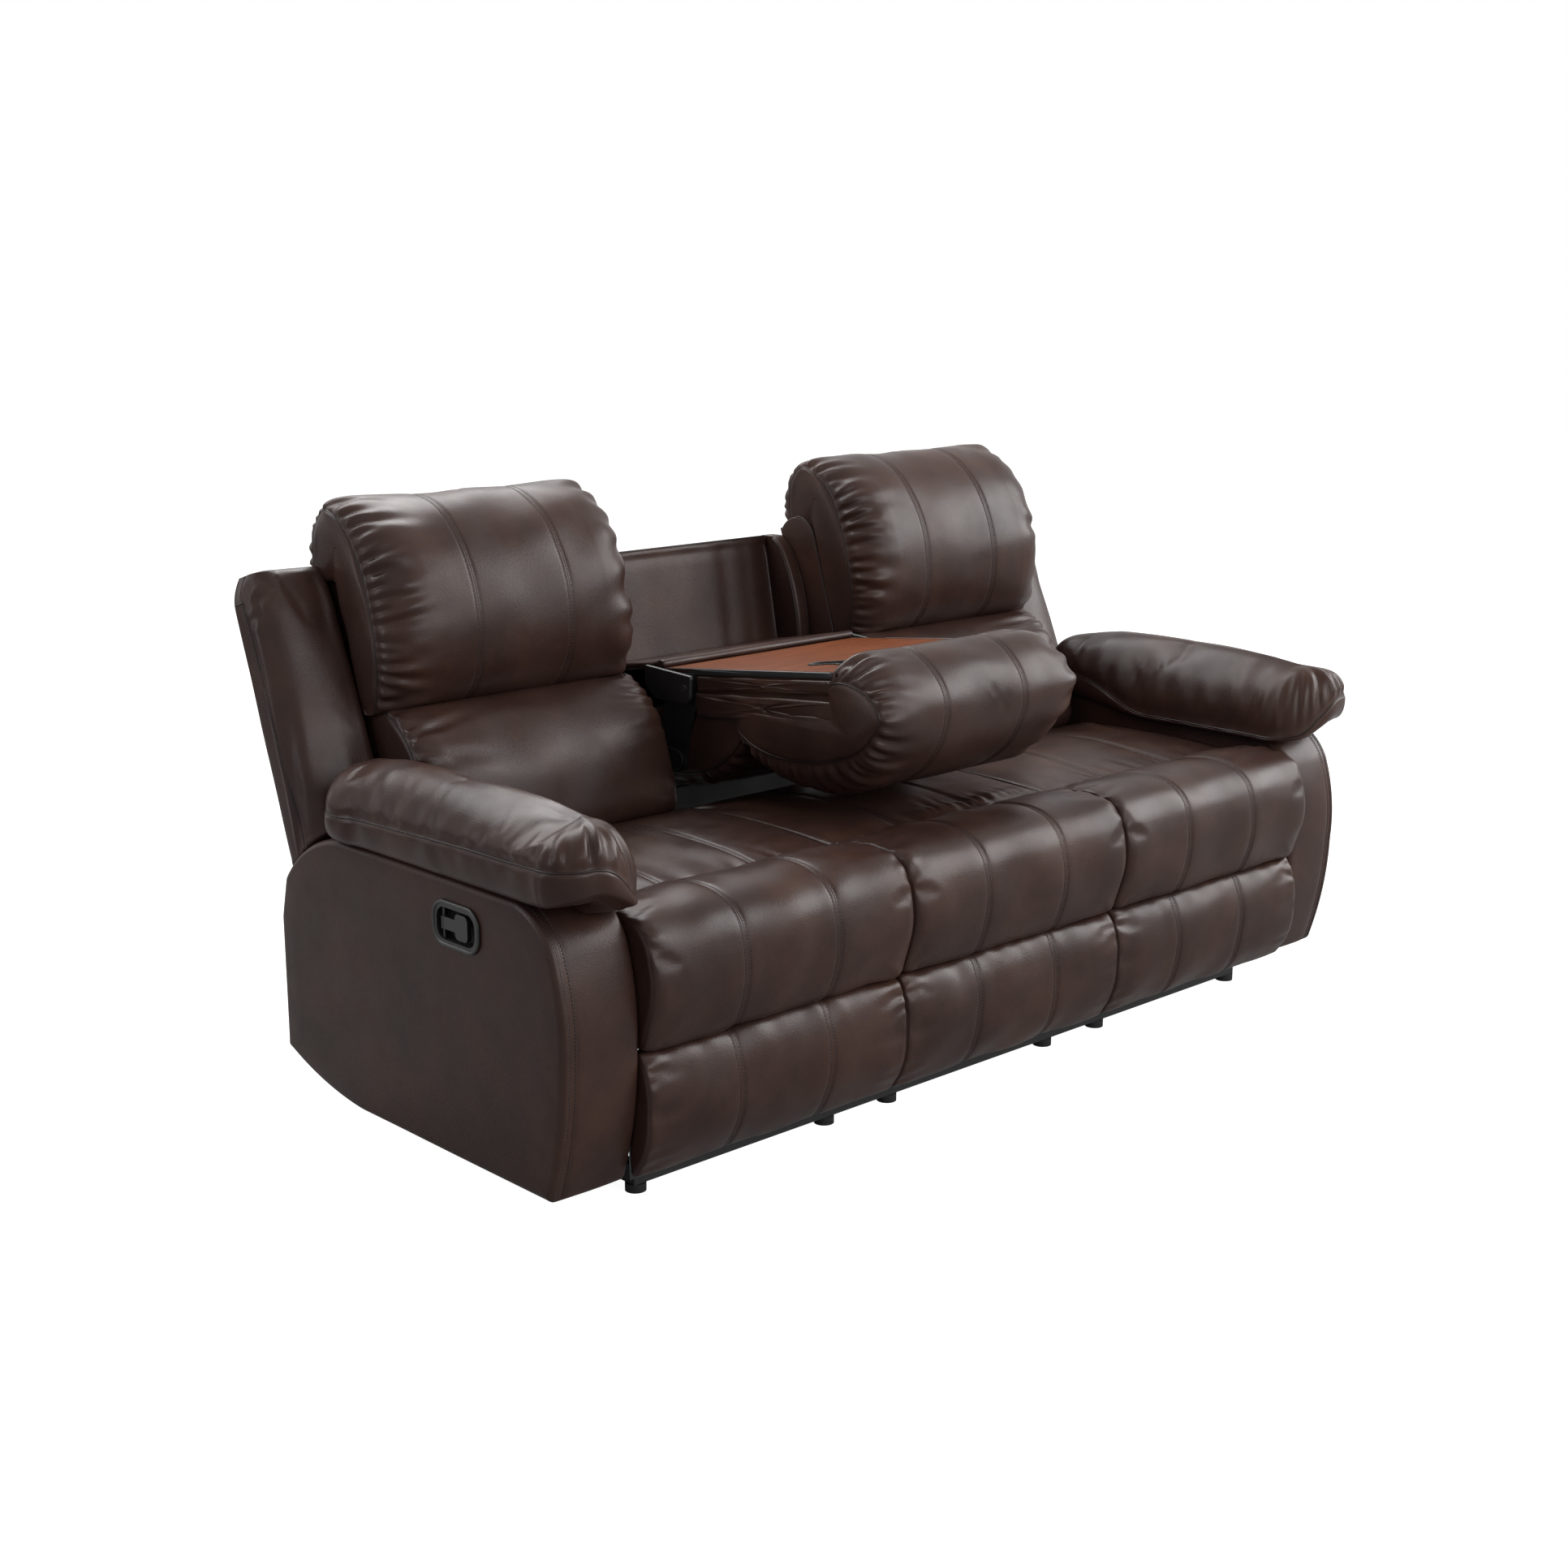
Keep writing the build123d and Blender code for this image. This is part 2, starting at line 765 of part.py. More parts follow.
def footrest_bracket(x, side):
    """Steel ear on the footrest board, with the rivet that the second link turns on."""
    low = link_tip[1] - 40
    high = link_tip[1] + 40
    face = panel_board_y + panel_board
    path = [(face, low), (link_tip[0] + link_width / 2, link_tip[1] - 12),
            (link_tip[0] + link_width / 2, link_tip[1] + 12), (face, high)]
    with BuildPart() as ear:
        with BuildSketch(Plane.YZ.offset(x - plate_thickness / 2)):
            make_face(side_outline(path).edges())
        extrude(amount=plate_thickness)
        reach = plate_gap + plate_thickness + rivet_proud
        base = x + side * plate_thickness / 2
        with BuildSketch(Plane.YZ.offset(min(base, base + side * reach))):
            with Locations(link_tip):
                Circle(link_pin_radius)
        extrude(amount=reach)
    return ear


# ================================================================== arms
def arm_path():
    front, rear, top, low = arm_front_y, arm_rear_y, arm_top, arm_bottom
    return [
        (front + 41, low),
        ((front + 13, low + 100), (front, low + 225)),
        ((front + 4, low + 330), (front + 23, top - 66)),
        ((front + 56, top - 25), (front + 112, top)),
        (rear - 190, top),
        ((rear - 86, top - 36), (rear - 18, top - 98)),
        (rear, top - 170),
        (rear, low + 58),
        ((rear - 106, low + 20), (rear - 231, low)),
    ]


def make_arms():
    body = slab(arm_path(), arm_inner, arm_outer)
    cavity_in = arm_inner + arm_wall
    cavity_out = arm_outer - arm_wall
    with BuildPart() as arm:
        add(body.part)
        with BuildSketch(Plane.XY.offset(arm_bottom - 10)):
            with Locations((
                (cavity_in + cavity_out) / 2, (arm_frame_front_y + arm_frame_rear_y) / 2)
            ):
                Rectangle(cavity_out - cavity_in, arm_frame_rear_y - arm_frame_front_y + 2)
        extrude(amount=arm_frame_high - arm_bottom + 11, mode=Mode.SUBTRACT)
        with BuildSketch(Plane.YZ.offset(arm_outer - bezel_depth)):
            with Locations((bezel_y, bezel_z)):
                RectangleRounded(
                    bezel_length - 2 * bezel_lip + 1, bezel_height - 2 * bezel_lip + 1,
                    bezel_round - bezel_lip,
                )
        extrude(amount=bezel_depth + 1, mode=Mode.SUBTRACT)
        with BuildSketch(Plane.YZ.offset(cavity_out - 1)):
            with Locations((bezel_y, bezel_z)):
                Circle(cable_radius + 1.5)
        extrude(amount=arm_wall, mode=Mode.SUBTRACT)
    save_pair(arm, "arm_body")

    low, high = arm_frame_low, arm_frame_high
    front, rear = arm_frame_front_y, arm_frame_rear_y
    width = (cavity_in, cavity_in + arm_frame_width)
    posts = [
        block((width[0], y, low), (width[1], y + arm_rail, high))
        for y in (front, (front + rear - arm_rail) / 2, rear - arm_rail)
    ]
    half_bay = (rear - front - 3 * arm_rail) / 2
    rails = []
    for y in (front + arm_rail, front + 2 * arm_rail + half_bay):
        for z in (low, high - arm_rail):
            rails.append(block((width[0], y, z), (width[1], y + half_bay, z + arm_rail)))
    save(both_sides(group(*posts, *rails)), "arm_frames")

    brackets = []
    for y in (front_rail_y + rail_width / 2 + 4, 160.0):
        foot = block((outer_rail_x - 4, y, rail_top),
                     (arm_inner, y + 30, rail_top + plate_thickness))
        flange = block((arm_inner - plate_thickness, y, rail_top + plate_thickness),
                       (arm_inner, y + 30, rail_top + 110))
        with BuildPart() as bracket:
            add(foot.part)
            add(flange.part)
        brackets.append(both_sides(bracket))
    save(group(*brackets), "arm_brackets")


def pad_section(y):
    """Half widths, underside and crown of the arm pad at y."""
    low_x = arm_inner - pad_overhang_in
    high_x = arm_outer + pad_overhang_out
    front = pad_front_y
    rise = max(0.0, (front + 150 - y) / 150)
    tail = max(0.0, (y - pad_rear_y + 90) / 90)
    swell = sqrt(max(0.0, 1 - rise**3)) * sqrt(max(0.0, 1 - 0.8 * tail**2.5))
    under = arm_top + soft_gap
    slope = 16 * min(1.0, max(0.0, (-y - 40) / 380))
    crown = under + 8 + (pad_crown - slope - under - 8) * (0.18 + 0.82 * swell)
    pinch = 30 * (1 - swell)
    return low_x + pinch, high_x - pinch * 0.8, under, crown


def make_arm_pad():
    length = pad_rear_y - pad_front_y
    shares = (0.0, 0.015, 0.05, 0.11, 0.2, 0.35, 0.55, 0.75, 0.88, 0.96, 1.0)
    with BuildPart() as pad:
        for share in shares:
            y = pad_front_y + length * share
            low_x, high_x, under, crown = pad_section(y)
            lift = 26 * max(0.0, 1 - share / 0.12) ** 1.5
            base = under + lift
            height = max(crown, base + 22) - base
            mid_x = (low_x + high_x) / 2
            path = [
                (low_x + 22, base),
                (high_x - 16, base),
                ((high_x, base + height * 0.32), (high_x - 12, base + height * 0.62)),
                ((mid_x, base + height), (low_x + 12, base + height * 0.62)),
                ((low_x, base + height * 0.32), (low_x + 22, base)),
            ]
            with BuildSketch(Plane(origin=(0, y, 0), x_dir=(1, 0, 0), z_dir=(0, -1, 0))):
                make_face(side_outline(path).edges())
        loft(ruled=True)
    save_pair(pad, "arm_pad")


# ================================================================== pull handle
def make_handle():
    inside = arm_outer - bezel_depth
    with BuildPart() as bezel:
        with BuildSketch(Plane.YZ.offset(arm_outer)):
            with Locations((bezel_y, bezel_z)):
                RectangleRounded(bezel_length, bezel_height, bezel_round)
        extrude(amount=bezel_flange)
        with BuildSketch(Plane.YZ.offset(inside)):
            with Locations((bezel_y, bezel_z)):
                RectangleRounded(
                    bezel_length - 2 * bezel_lip, bezel_height - 2 * bezel_lip,
                    bezel_round - bezel_lip,
                )
        extrude(amount=bezel_depth)
        with BuildSketch(Plane.YZ.offset(inside + bezel_wall)):
            with Locations((bezel_y, bezel_z)):
                RectangleRounded(
                    bezel_length - 2 * bezel_lip - 2 * bezel_wall,
                    bezel_height - 2 * bezel_lip - 2 * bezel_wall,
                    bezel_round - bezel_lip - bezel_wall,
                )
        extrude(amount=bezel_depth + bezel_flange, mode=Mode.SUBTRACT)
        half = handle_pin_half
        with BuildSketch(Plane.XY.offset(bezel_z - half)):
            with Locations((handle_x(), handle_pin_y)):
                Circle(handle_pin_radius)
        extrude(amount=2 * half)
    save(both_sides(bezel), "handle_bezels")

    low = handle_x() - handle_thickness / 2
    paddle_front = handle_pin_y - 33 - handle_paddle_length
    with BuildPart() as handle:
        with BuildSketch(Plane.YZ.offset(low)):
            with Locations(((handle_pin_y + paddle_front + handle_paddle_length) / 2, bezel_z)):
                Rectangle(33.0, handle_neck_height)
            with Locations((paddle_front + handle_paddle_length / 2, bezel_z)):
                RectangleRounded(handle_paddle_length, handle_paddle_height, 9.0)
        extrude(amount=handle_thickness)
        with BuildSketch(Plane.XY.offset(bezel_z - handle_neck_height / 2)):
            with Locations((handle_x(), handle_pin_y)):
                Circle(handle_knuckle_radius)
        extrude(amount=handle_neck_height)
        with BuildSketch(Plane.XY.offset(bezel_z - handle_neck_height / 2)):
            with Locations((handle_x(), handle_pin_y)):
                Circle(handle_pin_radius + pin_gap)
        extrude(amount=handle_neck_height, mode=Mode.SUBTRACT)
    save_pair(handle, "handle")

    # release cable: out of the bezel's back, down inside the arm, in under it to the side rail
    drop_x = arm_outer - arm_wall - 6 - cable_radius
    run_z = foot_height + rail_height - 6
    with BuildPart() as cable:
        with BuildLine() as route:
            FilletPolyline(
                (inside, bezel_y, bezel_z),
                (drop_x - 4, bezel_y, bezel_z),
                (drop_x - 4, bezel_y, run_z),
                (outer_rail_x + rail_width / 2, bezel_y, run_z),
                radius=[10.0, cable_bend],
            )
        with BuildSketch(Plane(origin=(inside, bezel_y, bezel_z), z_dir=(-1, 0, 0))):
            Circle(cable_radius)
        sweep(path=route.line)
    save(both_sides(cable), "release_cables")


def handle_x():
    """Middle of the pull handle's thickness."""
    return arm_outer + bezel_flange - handle_inset - handle_thickness / 2


# ================================================================== console
dropped = back_lean + console_drop


def tray_plane():
    """Plane on the tray's surface, dropped: local x runs to -X, local y to the sofa's front."""
    y, z = on_back(0, frame_face + frame_depth, dropped)
    turn = radians(dropped)
    return Plane(origin=(0, y, z), x_dir=(-1, 0, 0), z_dir=(0, sin(turn), -cos(turn)))


def make_console():
    face = frame_face
    top = frame_face + frame_depth
    length = back_height + console_rear
    middle = (back_height - console_rear) / 2
    surface = tray_plane()

    with BuildPart() as frame:
        with BuildSketch(surface.offset(-frame_depth)):
            with Locations((0, middle)):
                Rectangle(2 * console_half, length)
        extrude(amount=frame_depth)
        with BuildSketch(surface.offset(-frame_depth + console_floor)):
            with Locations((0, middle)):
                Rectangle(2 * (console_half - console_wall), length - 2 * console_wall)
        extrude(amount=frame_depth, mode=Mode.SUBTRACT)
        with BuildSketch(surface.offset(-tray_thickness)):
            with Locations((0, middle)):
                Rectangle(
                    2 * (console_half - console_wall + tray_ledge),
                    length - 2 * (console_wall - tray_ledge),
                )
        extrude(amount=tray_thickness, mode=Mode.SUBTRACT)
    save(frame, "console_frame")

    def cup_outline(grow, x):
        """Round cup with its mug-handle slot, in the tray's plane."""
        turn = 270 + mug_slot_turn
        with BuildSketch() as shape:
            with Locations((x, cup_along)):
                Circle(cup_radius + grow)
            with Locations(Location((x, cup_along, 0), (0, 0, turn))):
                with Locations((mug_slot_reach / 2 + grow / 2, 0)):
                    RectangleRounded(
                        mug_slot_reach + grow, mug_slot_width + 2 * grow, mug_slot_width / 2 - 1
                    )
        return shape.sketch

    with BuildPart() as tray:
        with BuildSketch(surface.offset(-tray_thickness)):
            with Locations((0, middle)):
                Rectangle(
                    2 * (console_half - console_wall + tray_ledge) - 1,
                    length - 2 * (console_wall - tray_ledge) - 1,
                )
            for x in (-cup_spacing / 2, cup_spacing / 2):
                add(cup_outline(cup_wall + soft_gap, x), mode=Mode.SUBTRACT)
        extrude(amount=tray_thickness)
    save(tray, "console_tray")

    with BuildPart() as cups:
        with BuildSketch(surface):
            for x in (-cup_spacing / 2, cup_spacing / 2):
                add(cup_outline(cup_rim, x))
        extrude(amount=cup_rim_thickness)
        with BuildSketch(surface.offset(-cup_depth)):
            for x in (-cup_spacing / 2, cup_spacing / 2):
                add(cup_outline(cup_wall, x))
        extrude(amount=cup_depth)
        with BuildSketch(surface.offset(-cup_depth + cup_wall)):
            for x in (-cup_spacing / 2, cup_spacing / 2):
                add(cup_outline(0.0, x))
        extrude(amount=cup_depth + cup_rim_thickness, mode=Mode.SUBTRACT)
    save(cups, "cup_holders")

    half = console_head_half
    save(make_head(-half, half, centre_seams, dropped), "console_head_cushion")
    half = console_lumbar_half
    save(make_lumbar(-half, half, dropped), "console_lumbar_cushion")

    # moving hinge plates on the sides of the box
    path = lean_path(
        [(-26, top - 8), (70, top - 8), (70, face + 8), ((40, 46), (link_width, 0)),
         ((0, -link_width), (-link_width, 0)), (-26, 60)],
        dropped,
    )
    with BuildPart() as hinge:
        with BuildSketch(Plane.YZ.offset(console_half)):
            make_face(side_outline(path).edges())
            with Locations((back_pivot_y, back_pivot_z)):
                Circle(console_pin_radius + pin_gap, mode=Mode.SUBTRACT)
        extrude(amount=hinge_plate)
    save(both_sides(hinge), "console_hinge_arms")


# ================================================================== fixed centre back
def panel_line(z):
    """Y of the rear panel's front face at a height."""
    return rear_panel_y + (z - flap_hinge_z) / tan(radians(panel_lean))


def leaning(low_z, high_z, front, rear):
    """Outline parallel to the rear panel: front and rear are offsets in Y from its face."""
    return [
        (panel_line(low_z) + front, low_z),
        (panel_line(high_z) + front, high_z),
        (panel_line(high_z) + rear, high_z),
        (panel_line(low_z) + rear, low_z),
    ]


def make_centre_back():
    rear = rear_panel_thickness
    front = rear - post_depth
    post_in = rear_panel_half + 2
    post = slab(leaning(rail_top, rear_panel_top, front, rear), post_in, post_in + post_width)
    save(both_sides(post), "centre_back_posts")

    panel = slab(leaning(rear_panel_bottom, rear_panel_top, 0, rear), -post_in, post_in)
    save(panel, "centre_back_panel")

    far = rear_board_y + rear_board_thickness
    board = block(
        (-rear_board_half, rear_board_y, rear_board_low),
        (rear_board_half, far, rear_board_high),
    )
    upright = both_sides(
        block((rear_board_half - 60, rear_board_y, rail_top), (rear_board_half - 20, far, rear_board_low))
    )
    save(group(board, upright), "centre_rear_rail")

    top = rear_panel_top - 1
    low = flap_hinge_z + 26
    cheek = [
        (panel_line(low) + front - soft_gap, low),
        (panel_line(low) - cheek_proud + 6, low),
        ((panel_line(top - 85) - cheek_proud, top - 90), (panel_line(top - 25) - 38, top - 25)),
        ((panel_line(top - 5) - 26, top - 7), (panel_line(top) + front - 4, top)),
        (panel_line(top) + front - soft_gap, top),
    ]
    save(both_sides(slab(cheek, post_in, post_in + post_width + 2)), "centre_cheeks")

    # steel bracket from the post to the console's pivot, with the pin, and the flap's rod
    plate_x = console_half + hinge_plate + slide_gap
    rise = 34.0
    post_face = panel_line(back_pivot_z) + front
    tilt = 1 / tan(radians(panel_lean))
    plate_path = [
        (back_pivot_y, back_pivot_z - 20),
        (post_face - rise * tilt, back_pivot_z - rise),
        (post_face + rise * tilt, back_pivot_z + rise),
        (back_pivot_y, back_pivot_z + 20),
        ((back_pivot_y - 20, back_pivot_z), (back_pivot_y, back_pivot_z - 20)),
    ]
    with BuildPart() as bracket:
        with BuildSketch(Plane.YZ.offset(plate_x)):
            make_face(side_outline(plate_path).edges())
        extrude(amount=hinge_plate)
        with BuildSketch(Plane.YZ.offset(console_half - 3)):
            with Locations((back_pivot_y, back_pivot_z)):
                Circle(console_pin_radius)
        extrude(amount=plate_x - console_half + 3)
    rod_y = rear_panel_y - flap_thickness / 2 - 4
    with BuildPart() as rod:
        with BuildSketch(Plane.YZ.offset(-post_in)):
            with Locations((rod_y, flap_hinge_z)):
                Circle(flap_rod_radius)
        extrude(amount=2 * post_in)
    save(group(both_sides(bracket), rod), "console_hinge_brackets")

    # flap: from the rod at the panel's foot to just over the tray
    make_flap(rod_y)


def make_flap(rod_y):
    level = frame_face + frame_depth
    turn = radians(dropped)
    rel = (rod_y - back_pivot_y, flap_hinge_z - back_pivot_z)
    height = rel[0] * sin(turn) - rel[1] * cos(turn)
    to_box = -rel[0] * cos(turn) - rel[1] * sin(turn) - console_rear
    slope = asin((level + soft_gap + flap_thickness / 2 - height) / to_box)
    angle = turn - slope
    along = (cos(angle), sin(angle))
    out = (sin(angle), -cos(angle))

    def at(run, rise):
        return (
            rod_y + along[0] * run + out[0] * rise,
            flap_hinge_z + along[1] * run + out[1] * rise,
        )

    half = flap_thickness / 2
    path = [
        at(0, half),
        at(flap_length - half, half),
        (at(flap_length, 0), at(flap_length - half, -half)),
        at(0, -half),
        (at(-half, 0), at(0, half)),
    ]
    with BuildPart() as flap:
        with BuildSketch(Plane.YZ.offset(-flap_half)):
            make_face(side_outline(path).edges())
            with Locations((rod_y, flap_hinge_z)):
                Circle(flap_rod_radius + pin_gap, mode=Mode.SUBTRACT)
        extrude(amount=2 * flap_half)
    save(flap, "console_flap")
    rest = degrees(angle)
    print("flap rests at", round(rest, 2), "swings", round(rest - panel_lean, 2), "degrees")


make_base()
make_seats()
make_mechanism()
make_backs()
make_arms()
make_arm_pad()
make_handle()
make_console()
make_centre_back()
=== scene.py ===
# %% [markdown]
# # A reclining sofa with a drop-down console
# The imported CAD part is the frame: its steel, timber and hinges stay as they are, and every cushion
# is made again here as sewn leather over foam. A reader can follow the cells from top to bottom:
# camera and light first, then the finishes, then a way to make cushions, then one cell for each piece.

import math
from collections import defaultdict

import bpy
import numpy as np
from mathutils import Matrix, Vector


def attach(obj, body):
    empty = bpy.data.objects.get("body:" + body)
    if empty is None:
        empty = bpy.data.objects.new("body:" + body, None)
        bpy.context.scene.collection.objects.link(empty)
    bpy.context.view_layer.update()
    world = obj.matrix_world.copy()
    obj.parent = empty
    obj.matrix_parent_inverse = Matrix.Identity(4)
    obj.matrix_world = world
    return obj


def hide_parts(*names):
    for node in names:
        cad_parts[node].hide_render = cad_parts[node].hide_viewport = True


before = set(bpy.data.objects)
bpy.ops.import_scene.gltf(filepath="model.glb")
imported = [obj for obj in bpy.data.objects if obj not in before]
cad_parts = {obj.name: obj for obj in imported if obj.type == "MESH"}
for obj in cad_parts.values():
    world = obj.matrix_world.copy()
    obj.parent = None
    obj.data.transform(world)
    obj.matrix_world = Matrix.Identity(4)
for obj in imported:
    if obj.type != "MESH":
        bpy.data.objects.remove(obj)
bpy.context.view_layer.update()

# %% [markdown]
# The camera stands where the photographer stood: in front and to the left of the sofa, a little
# above its backs, with a fairly long lens so that the verticals stay nearly parallel. The place was
# worked out from the sofa's own corners, so nothing is shifted or cropped.

# %% Camera


def placed(name, data):
    """A new object in the scene."""
    made = bpy.data.objects.new(name, data)
    bpy.context.scene.collection.objects.link(made)
    return made


camera = placed("camera", bpy.data.cameras.new("camera"))
camera.location = (-2.90318, -2.96536, 1.46646)
camera.rotation_euler = (math.radians(76.62), 0.0, math.radians(-43.05))
camera.data.lens = 51.73
camera.data.sensor_width = 36.0
bpy.context.scene.camera = camera
bpy.context.scene.view_settings.view_transform = "Standard"
print("camera", tuple(camera.location))

# %% [markdown]
# Node trees are used for every finish, so one small function adds a node, sets it and links it.
# A second one turns the hex colours that designers write into the linear numbers that light uses.

# %% Two small helpers


def add(tree, kind, values=None, links=None, **settings):
    """A new node with its settings, its socket values and what is linked into it: outputs, or nodes,
    which stand for their first output."""
    node = tree.nodes.new(kind)
    for name, value in settings.items():
        setattr(node, name, value)
    for socket, value in (values or {}).items():
        node.inputs[socket].default_value = value
    for socket, source in (links or {}).items():
        tree.links.new(source.outputs[0] if isinstance(source, bpy.types.Node) else source, node.inputs[socket])
    return node


def colour(code):
    """Linear RGBA of an sRGB hex colour."""
    parts = [int(code[i:i + 2], 16) / 255 for i in (1, 3, 5)]
    return tuple(p / 12.92 if p <= 0.04045 else ((p + 0.055) / 1.055) ** 2.4 for p in parts) + (1.0,)


# %% [markdown]
# A studio for dark leather needs large soft lamps: what the eye reads as leather is mostly their
# broad grey reflections. One big softbox stands to the right, level with the backs, and grazes every
# crown. A weaker one at the front right fills the backs, a narrow one at the left draws the streak
# down the wing, and one overhead, a little behind, lights the tops of the arm pads and the rolls.
# Black card stands in such a studio wherever a lamp doesn't, so the paper floor is grey to every ray
# but the camera's.

# %% Lamps, white room and floor


def softbox(name, place, aim, width, height, watts):
    """A rectangular area lamp that looks at a point."""
    lamp = bpy.data.lights.new(name, "AREA")
    lamp.shape = "RECTANGLE"
    lamp.size, lamp.size_y = width, height
    lamp.energy = watts
    holder = placed(name, lamp)
    holder.location = place
    holder.rotation_euler = (Vector(aim) - Vector(place)).to_track_quat("-Z", "Y").to_euler()


softbox("key_softbox", (6.2, -3.6, 4.0), (0.0, 0.0, 0.7), 5.4, 4.6, 740)
softbox("front_softbox", (0.6, -6.0, 3.0), (0.0, 0.0, 0.7), 5.2, 3.2, 260)
softbox("left_softbox", (-3.5, 1.1, 1.7), (-0.8, 0.2, 0.7), 0.9, 1.8, 20)
softbox("top_softbox", (-0.3, 1.8, 3.1), (-0.3, 0.0, 0.6), 3.8, 1.8, 150)

world = bpy.data.worlds.new("white_room")
bpy.context.scene.world = world
world.use_nodes = True
room = world.node_tree
room.nodes.clear()
path = add(room, "ShaderNodeLightPath")
seen = path.outputs["Is Camera Ray"]
for ray in ("Is Glossy Ray", "Is Transmission Ray"):
    seen = add(room, "ShaderNodeMath", links={0: seen, 1: path.outputs[ray]}, operation="MAXIMUM")
dim = add(room, "ShaderNodeBackground", {"Color": colour("#ffffff"), "Strength": 0.45})
bright = add(room, "ShaderNodeBackground", {"Color": colour("#ffffff"), "Strength": 1.0})
both = add(room, "ShaderNodeMixShader", links={0: seen, 1: dim, 2: bright})
add(room, "ShaderNodeOutputWorld", links={"Surface": both})

floor_mesh = bpy.data.meshes.new("floor")
floor_mesh.from_pydata([(-14, -14, 0), (14, -14, 0), (14, 14, 0), (-14, 14, 0)], [], [(0, 1, 2, 3)])
paper = bpy.data.materials.new("studio_paper")
paper.use_nodes = True
tree = paper.node_tree
tree.nodes.clear()
path = add(tree, "ShaderNodeLightPath")
matt = add(tree, "ShaderNodeBsdfDiffuse", {"Color": colour("#a6a6a6")})
seen = add(tree, "ShaderNodeMath", {1: 0.95}, {0: path.outputs["Is Camera Ray"]}, operation="MULTIPLY")
glow = add(tree, "ShaderNodeEmission", {"Color": colour("#ffffff")}, {"Strength": seen})
lit = add(tree, "ShaderNodeAddShader", links={0: matt, 1: glow})
add(tree, "ShaderNodeOutputMaterial", links={"Surface": lit})
floor_mesh.materials.append(paper)
placed("floor", floor_mesh)
print("floor and lamps are up")

# %% [markdown]
# Bonded leather is a pressed base under a printed and embossed coat. The print gives it slow brown
# clouds a hand's breadth wide, the embossing a pebble about 1.5 mm across, and the coat a half gloss.
# The pebble is drawn at 2.4 mm, a little coarser than it is, so that it still shows from the camera.

# %% Leather


def new_finish(name):
    """An empty material, its node tree, and the coordinates of the piece that wears it."""
    finish = bpy.data.materials.new(name)
    finish.use_nodes = True
    tree = finish.node_tree
    tree.nodes.clear()
    return finish, tree, add(tree, "ShaderNodeTexCoord").outputs["Object"]


def set_stops(ramp, *stops):
    """The colours along a ramp, each with its place; a third one goes between the first two."""
    for place, shade in stops[2:]:
        ramp.color_ramp.elements.new(place).color = shade
    for element, (place, shade) in zip((ramp.color_ramp.elements[0], ramp.color_ramp.elements[-1]), stops):
        element.position, element.color = place, shade


def leather(name, dark, middle, light, gloss, pebble=0.0024, depth=0.00022):
    """Embossed leather: clouded colour, uneven gloss and a pebbled surface."""
    skin, tree, place = new_finish(name)
    clouds = add(tree, "ShaderNodeTexNoise", {"Scale": 7.5, "Detail": 4.0, "Roughness": 0.62}, {"Vector": place})
    ramp = add(tree, "ShaderNodeValToRGB", links={"Fac": clouds})
    set_stops(ramp, (0.34, colour(dark)), (0.68, colour(light)), (0.5, colour(middle)))
    patches = add(tree, "ShaderNodeTexNoise", {"Scale": 16.0, "Detail": 2.0}, {"Vector": place})
    spread = {"From Min": 0.35, "From Max": 0.7, "To Min": gloss - 0.05, "To Max": gloss + 0.07}
    shine = add(tree, "ShaderNodeMapRange", spread, {"Value": patches})
    cells = add(tree, "ShaderNodeTexVoronoi", {"Scale": 1 / pebble}, {"Vector": place}, feature="F1")
    pores = add(tree, "ShaderNodeTexNoise", {"Scale": 0.35 / pebble, "Detail": 2.0}, {"Vector": place})
    grain = add(tree, "ShaderNodeMath", {1: 0.7}, {0: pores, 2: cells}, operation="MULTIPLY_ADD")
    bump = add(tree, "ShaderNodeBump", {"Strength": 0.55, "Distance": depth}, {"Height": grain}, invert=True)
    coat = add(tree, "ShaderNodeBsdfPrincipled", {"IOR": 1.5, "Specular IOR Level": 0.17},
               {"Base Color": ramp, "Roughness": shine, "Normal": bump})
    add(tree, "ShaderNodeOutputMaterial", links={"Surface": coat})
    return skin


brown_leather = leather("embossed_brown_leather", "#271a17", "#2d1e1a", "#35231c", 0.35)
piping_leather = leather("piping_leather", "#1a1414", "#201817", "#28201d", 0.32)
print("leather", [m.name for m in (brown_leather, piping_leather)])

# %% [markdown]
# The other finishes are few: a waxed polyester thread, a printed wood laminate on the console's tray,
# moulded black plastic, black powder coat on the steel, bare spring wire, sawn pine inside the frame,
# and a black non-woven cloth, which also makes the dark sheets that are painted shade in the gaps.

# %% Thread, plastic, steel, timber and cloth


def plain(name, code, gloss, metal=0.0, grain=900.0, depth=0.00008, shade=0.12):
    """A finish of one colour with slight mottling and a fine bump."""
    finish, tree, place = new_finish(name)
    speckle = add(tree, "ShaderNodeTexNoise", {"Scale": grain, "Detail": 2.0}, {"Vector": place})
    drift = add(tree, "ShaderNodeTexNoise", {"Scale": 14.0, "Detail": 3.0}, {"Vector": place})
    ramp = add(tree, "ShaderNodeValToRGB", links={"Fac": drift})
    darker, lighter = (tuple(min(1.0, c * k) for c in colour(code)[:3]) + (1.0,) for k in (1 - shade, 1 + shade))
    set_stops(ramp, (0.3, darker), (0.7, lighter))
    bump = add(tree, "ShaderNodeBump", {"Strength": 0.5, "Distance": depth}, {"Height": speckle})
    coat = add(tree, "ShaderNodeBsdfPrincipled", {"Metallic": metal, "Roughness": gloss},
               {"Base Color": ramp, "Normal": bump})
    add(tree, "ShaderNodeOutputMaterial", links={"Surface": coat})
    return finish


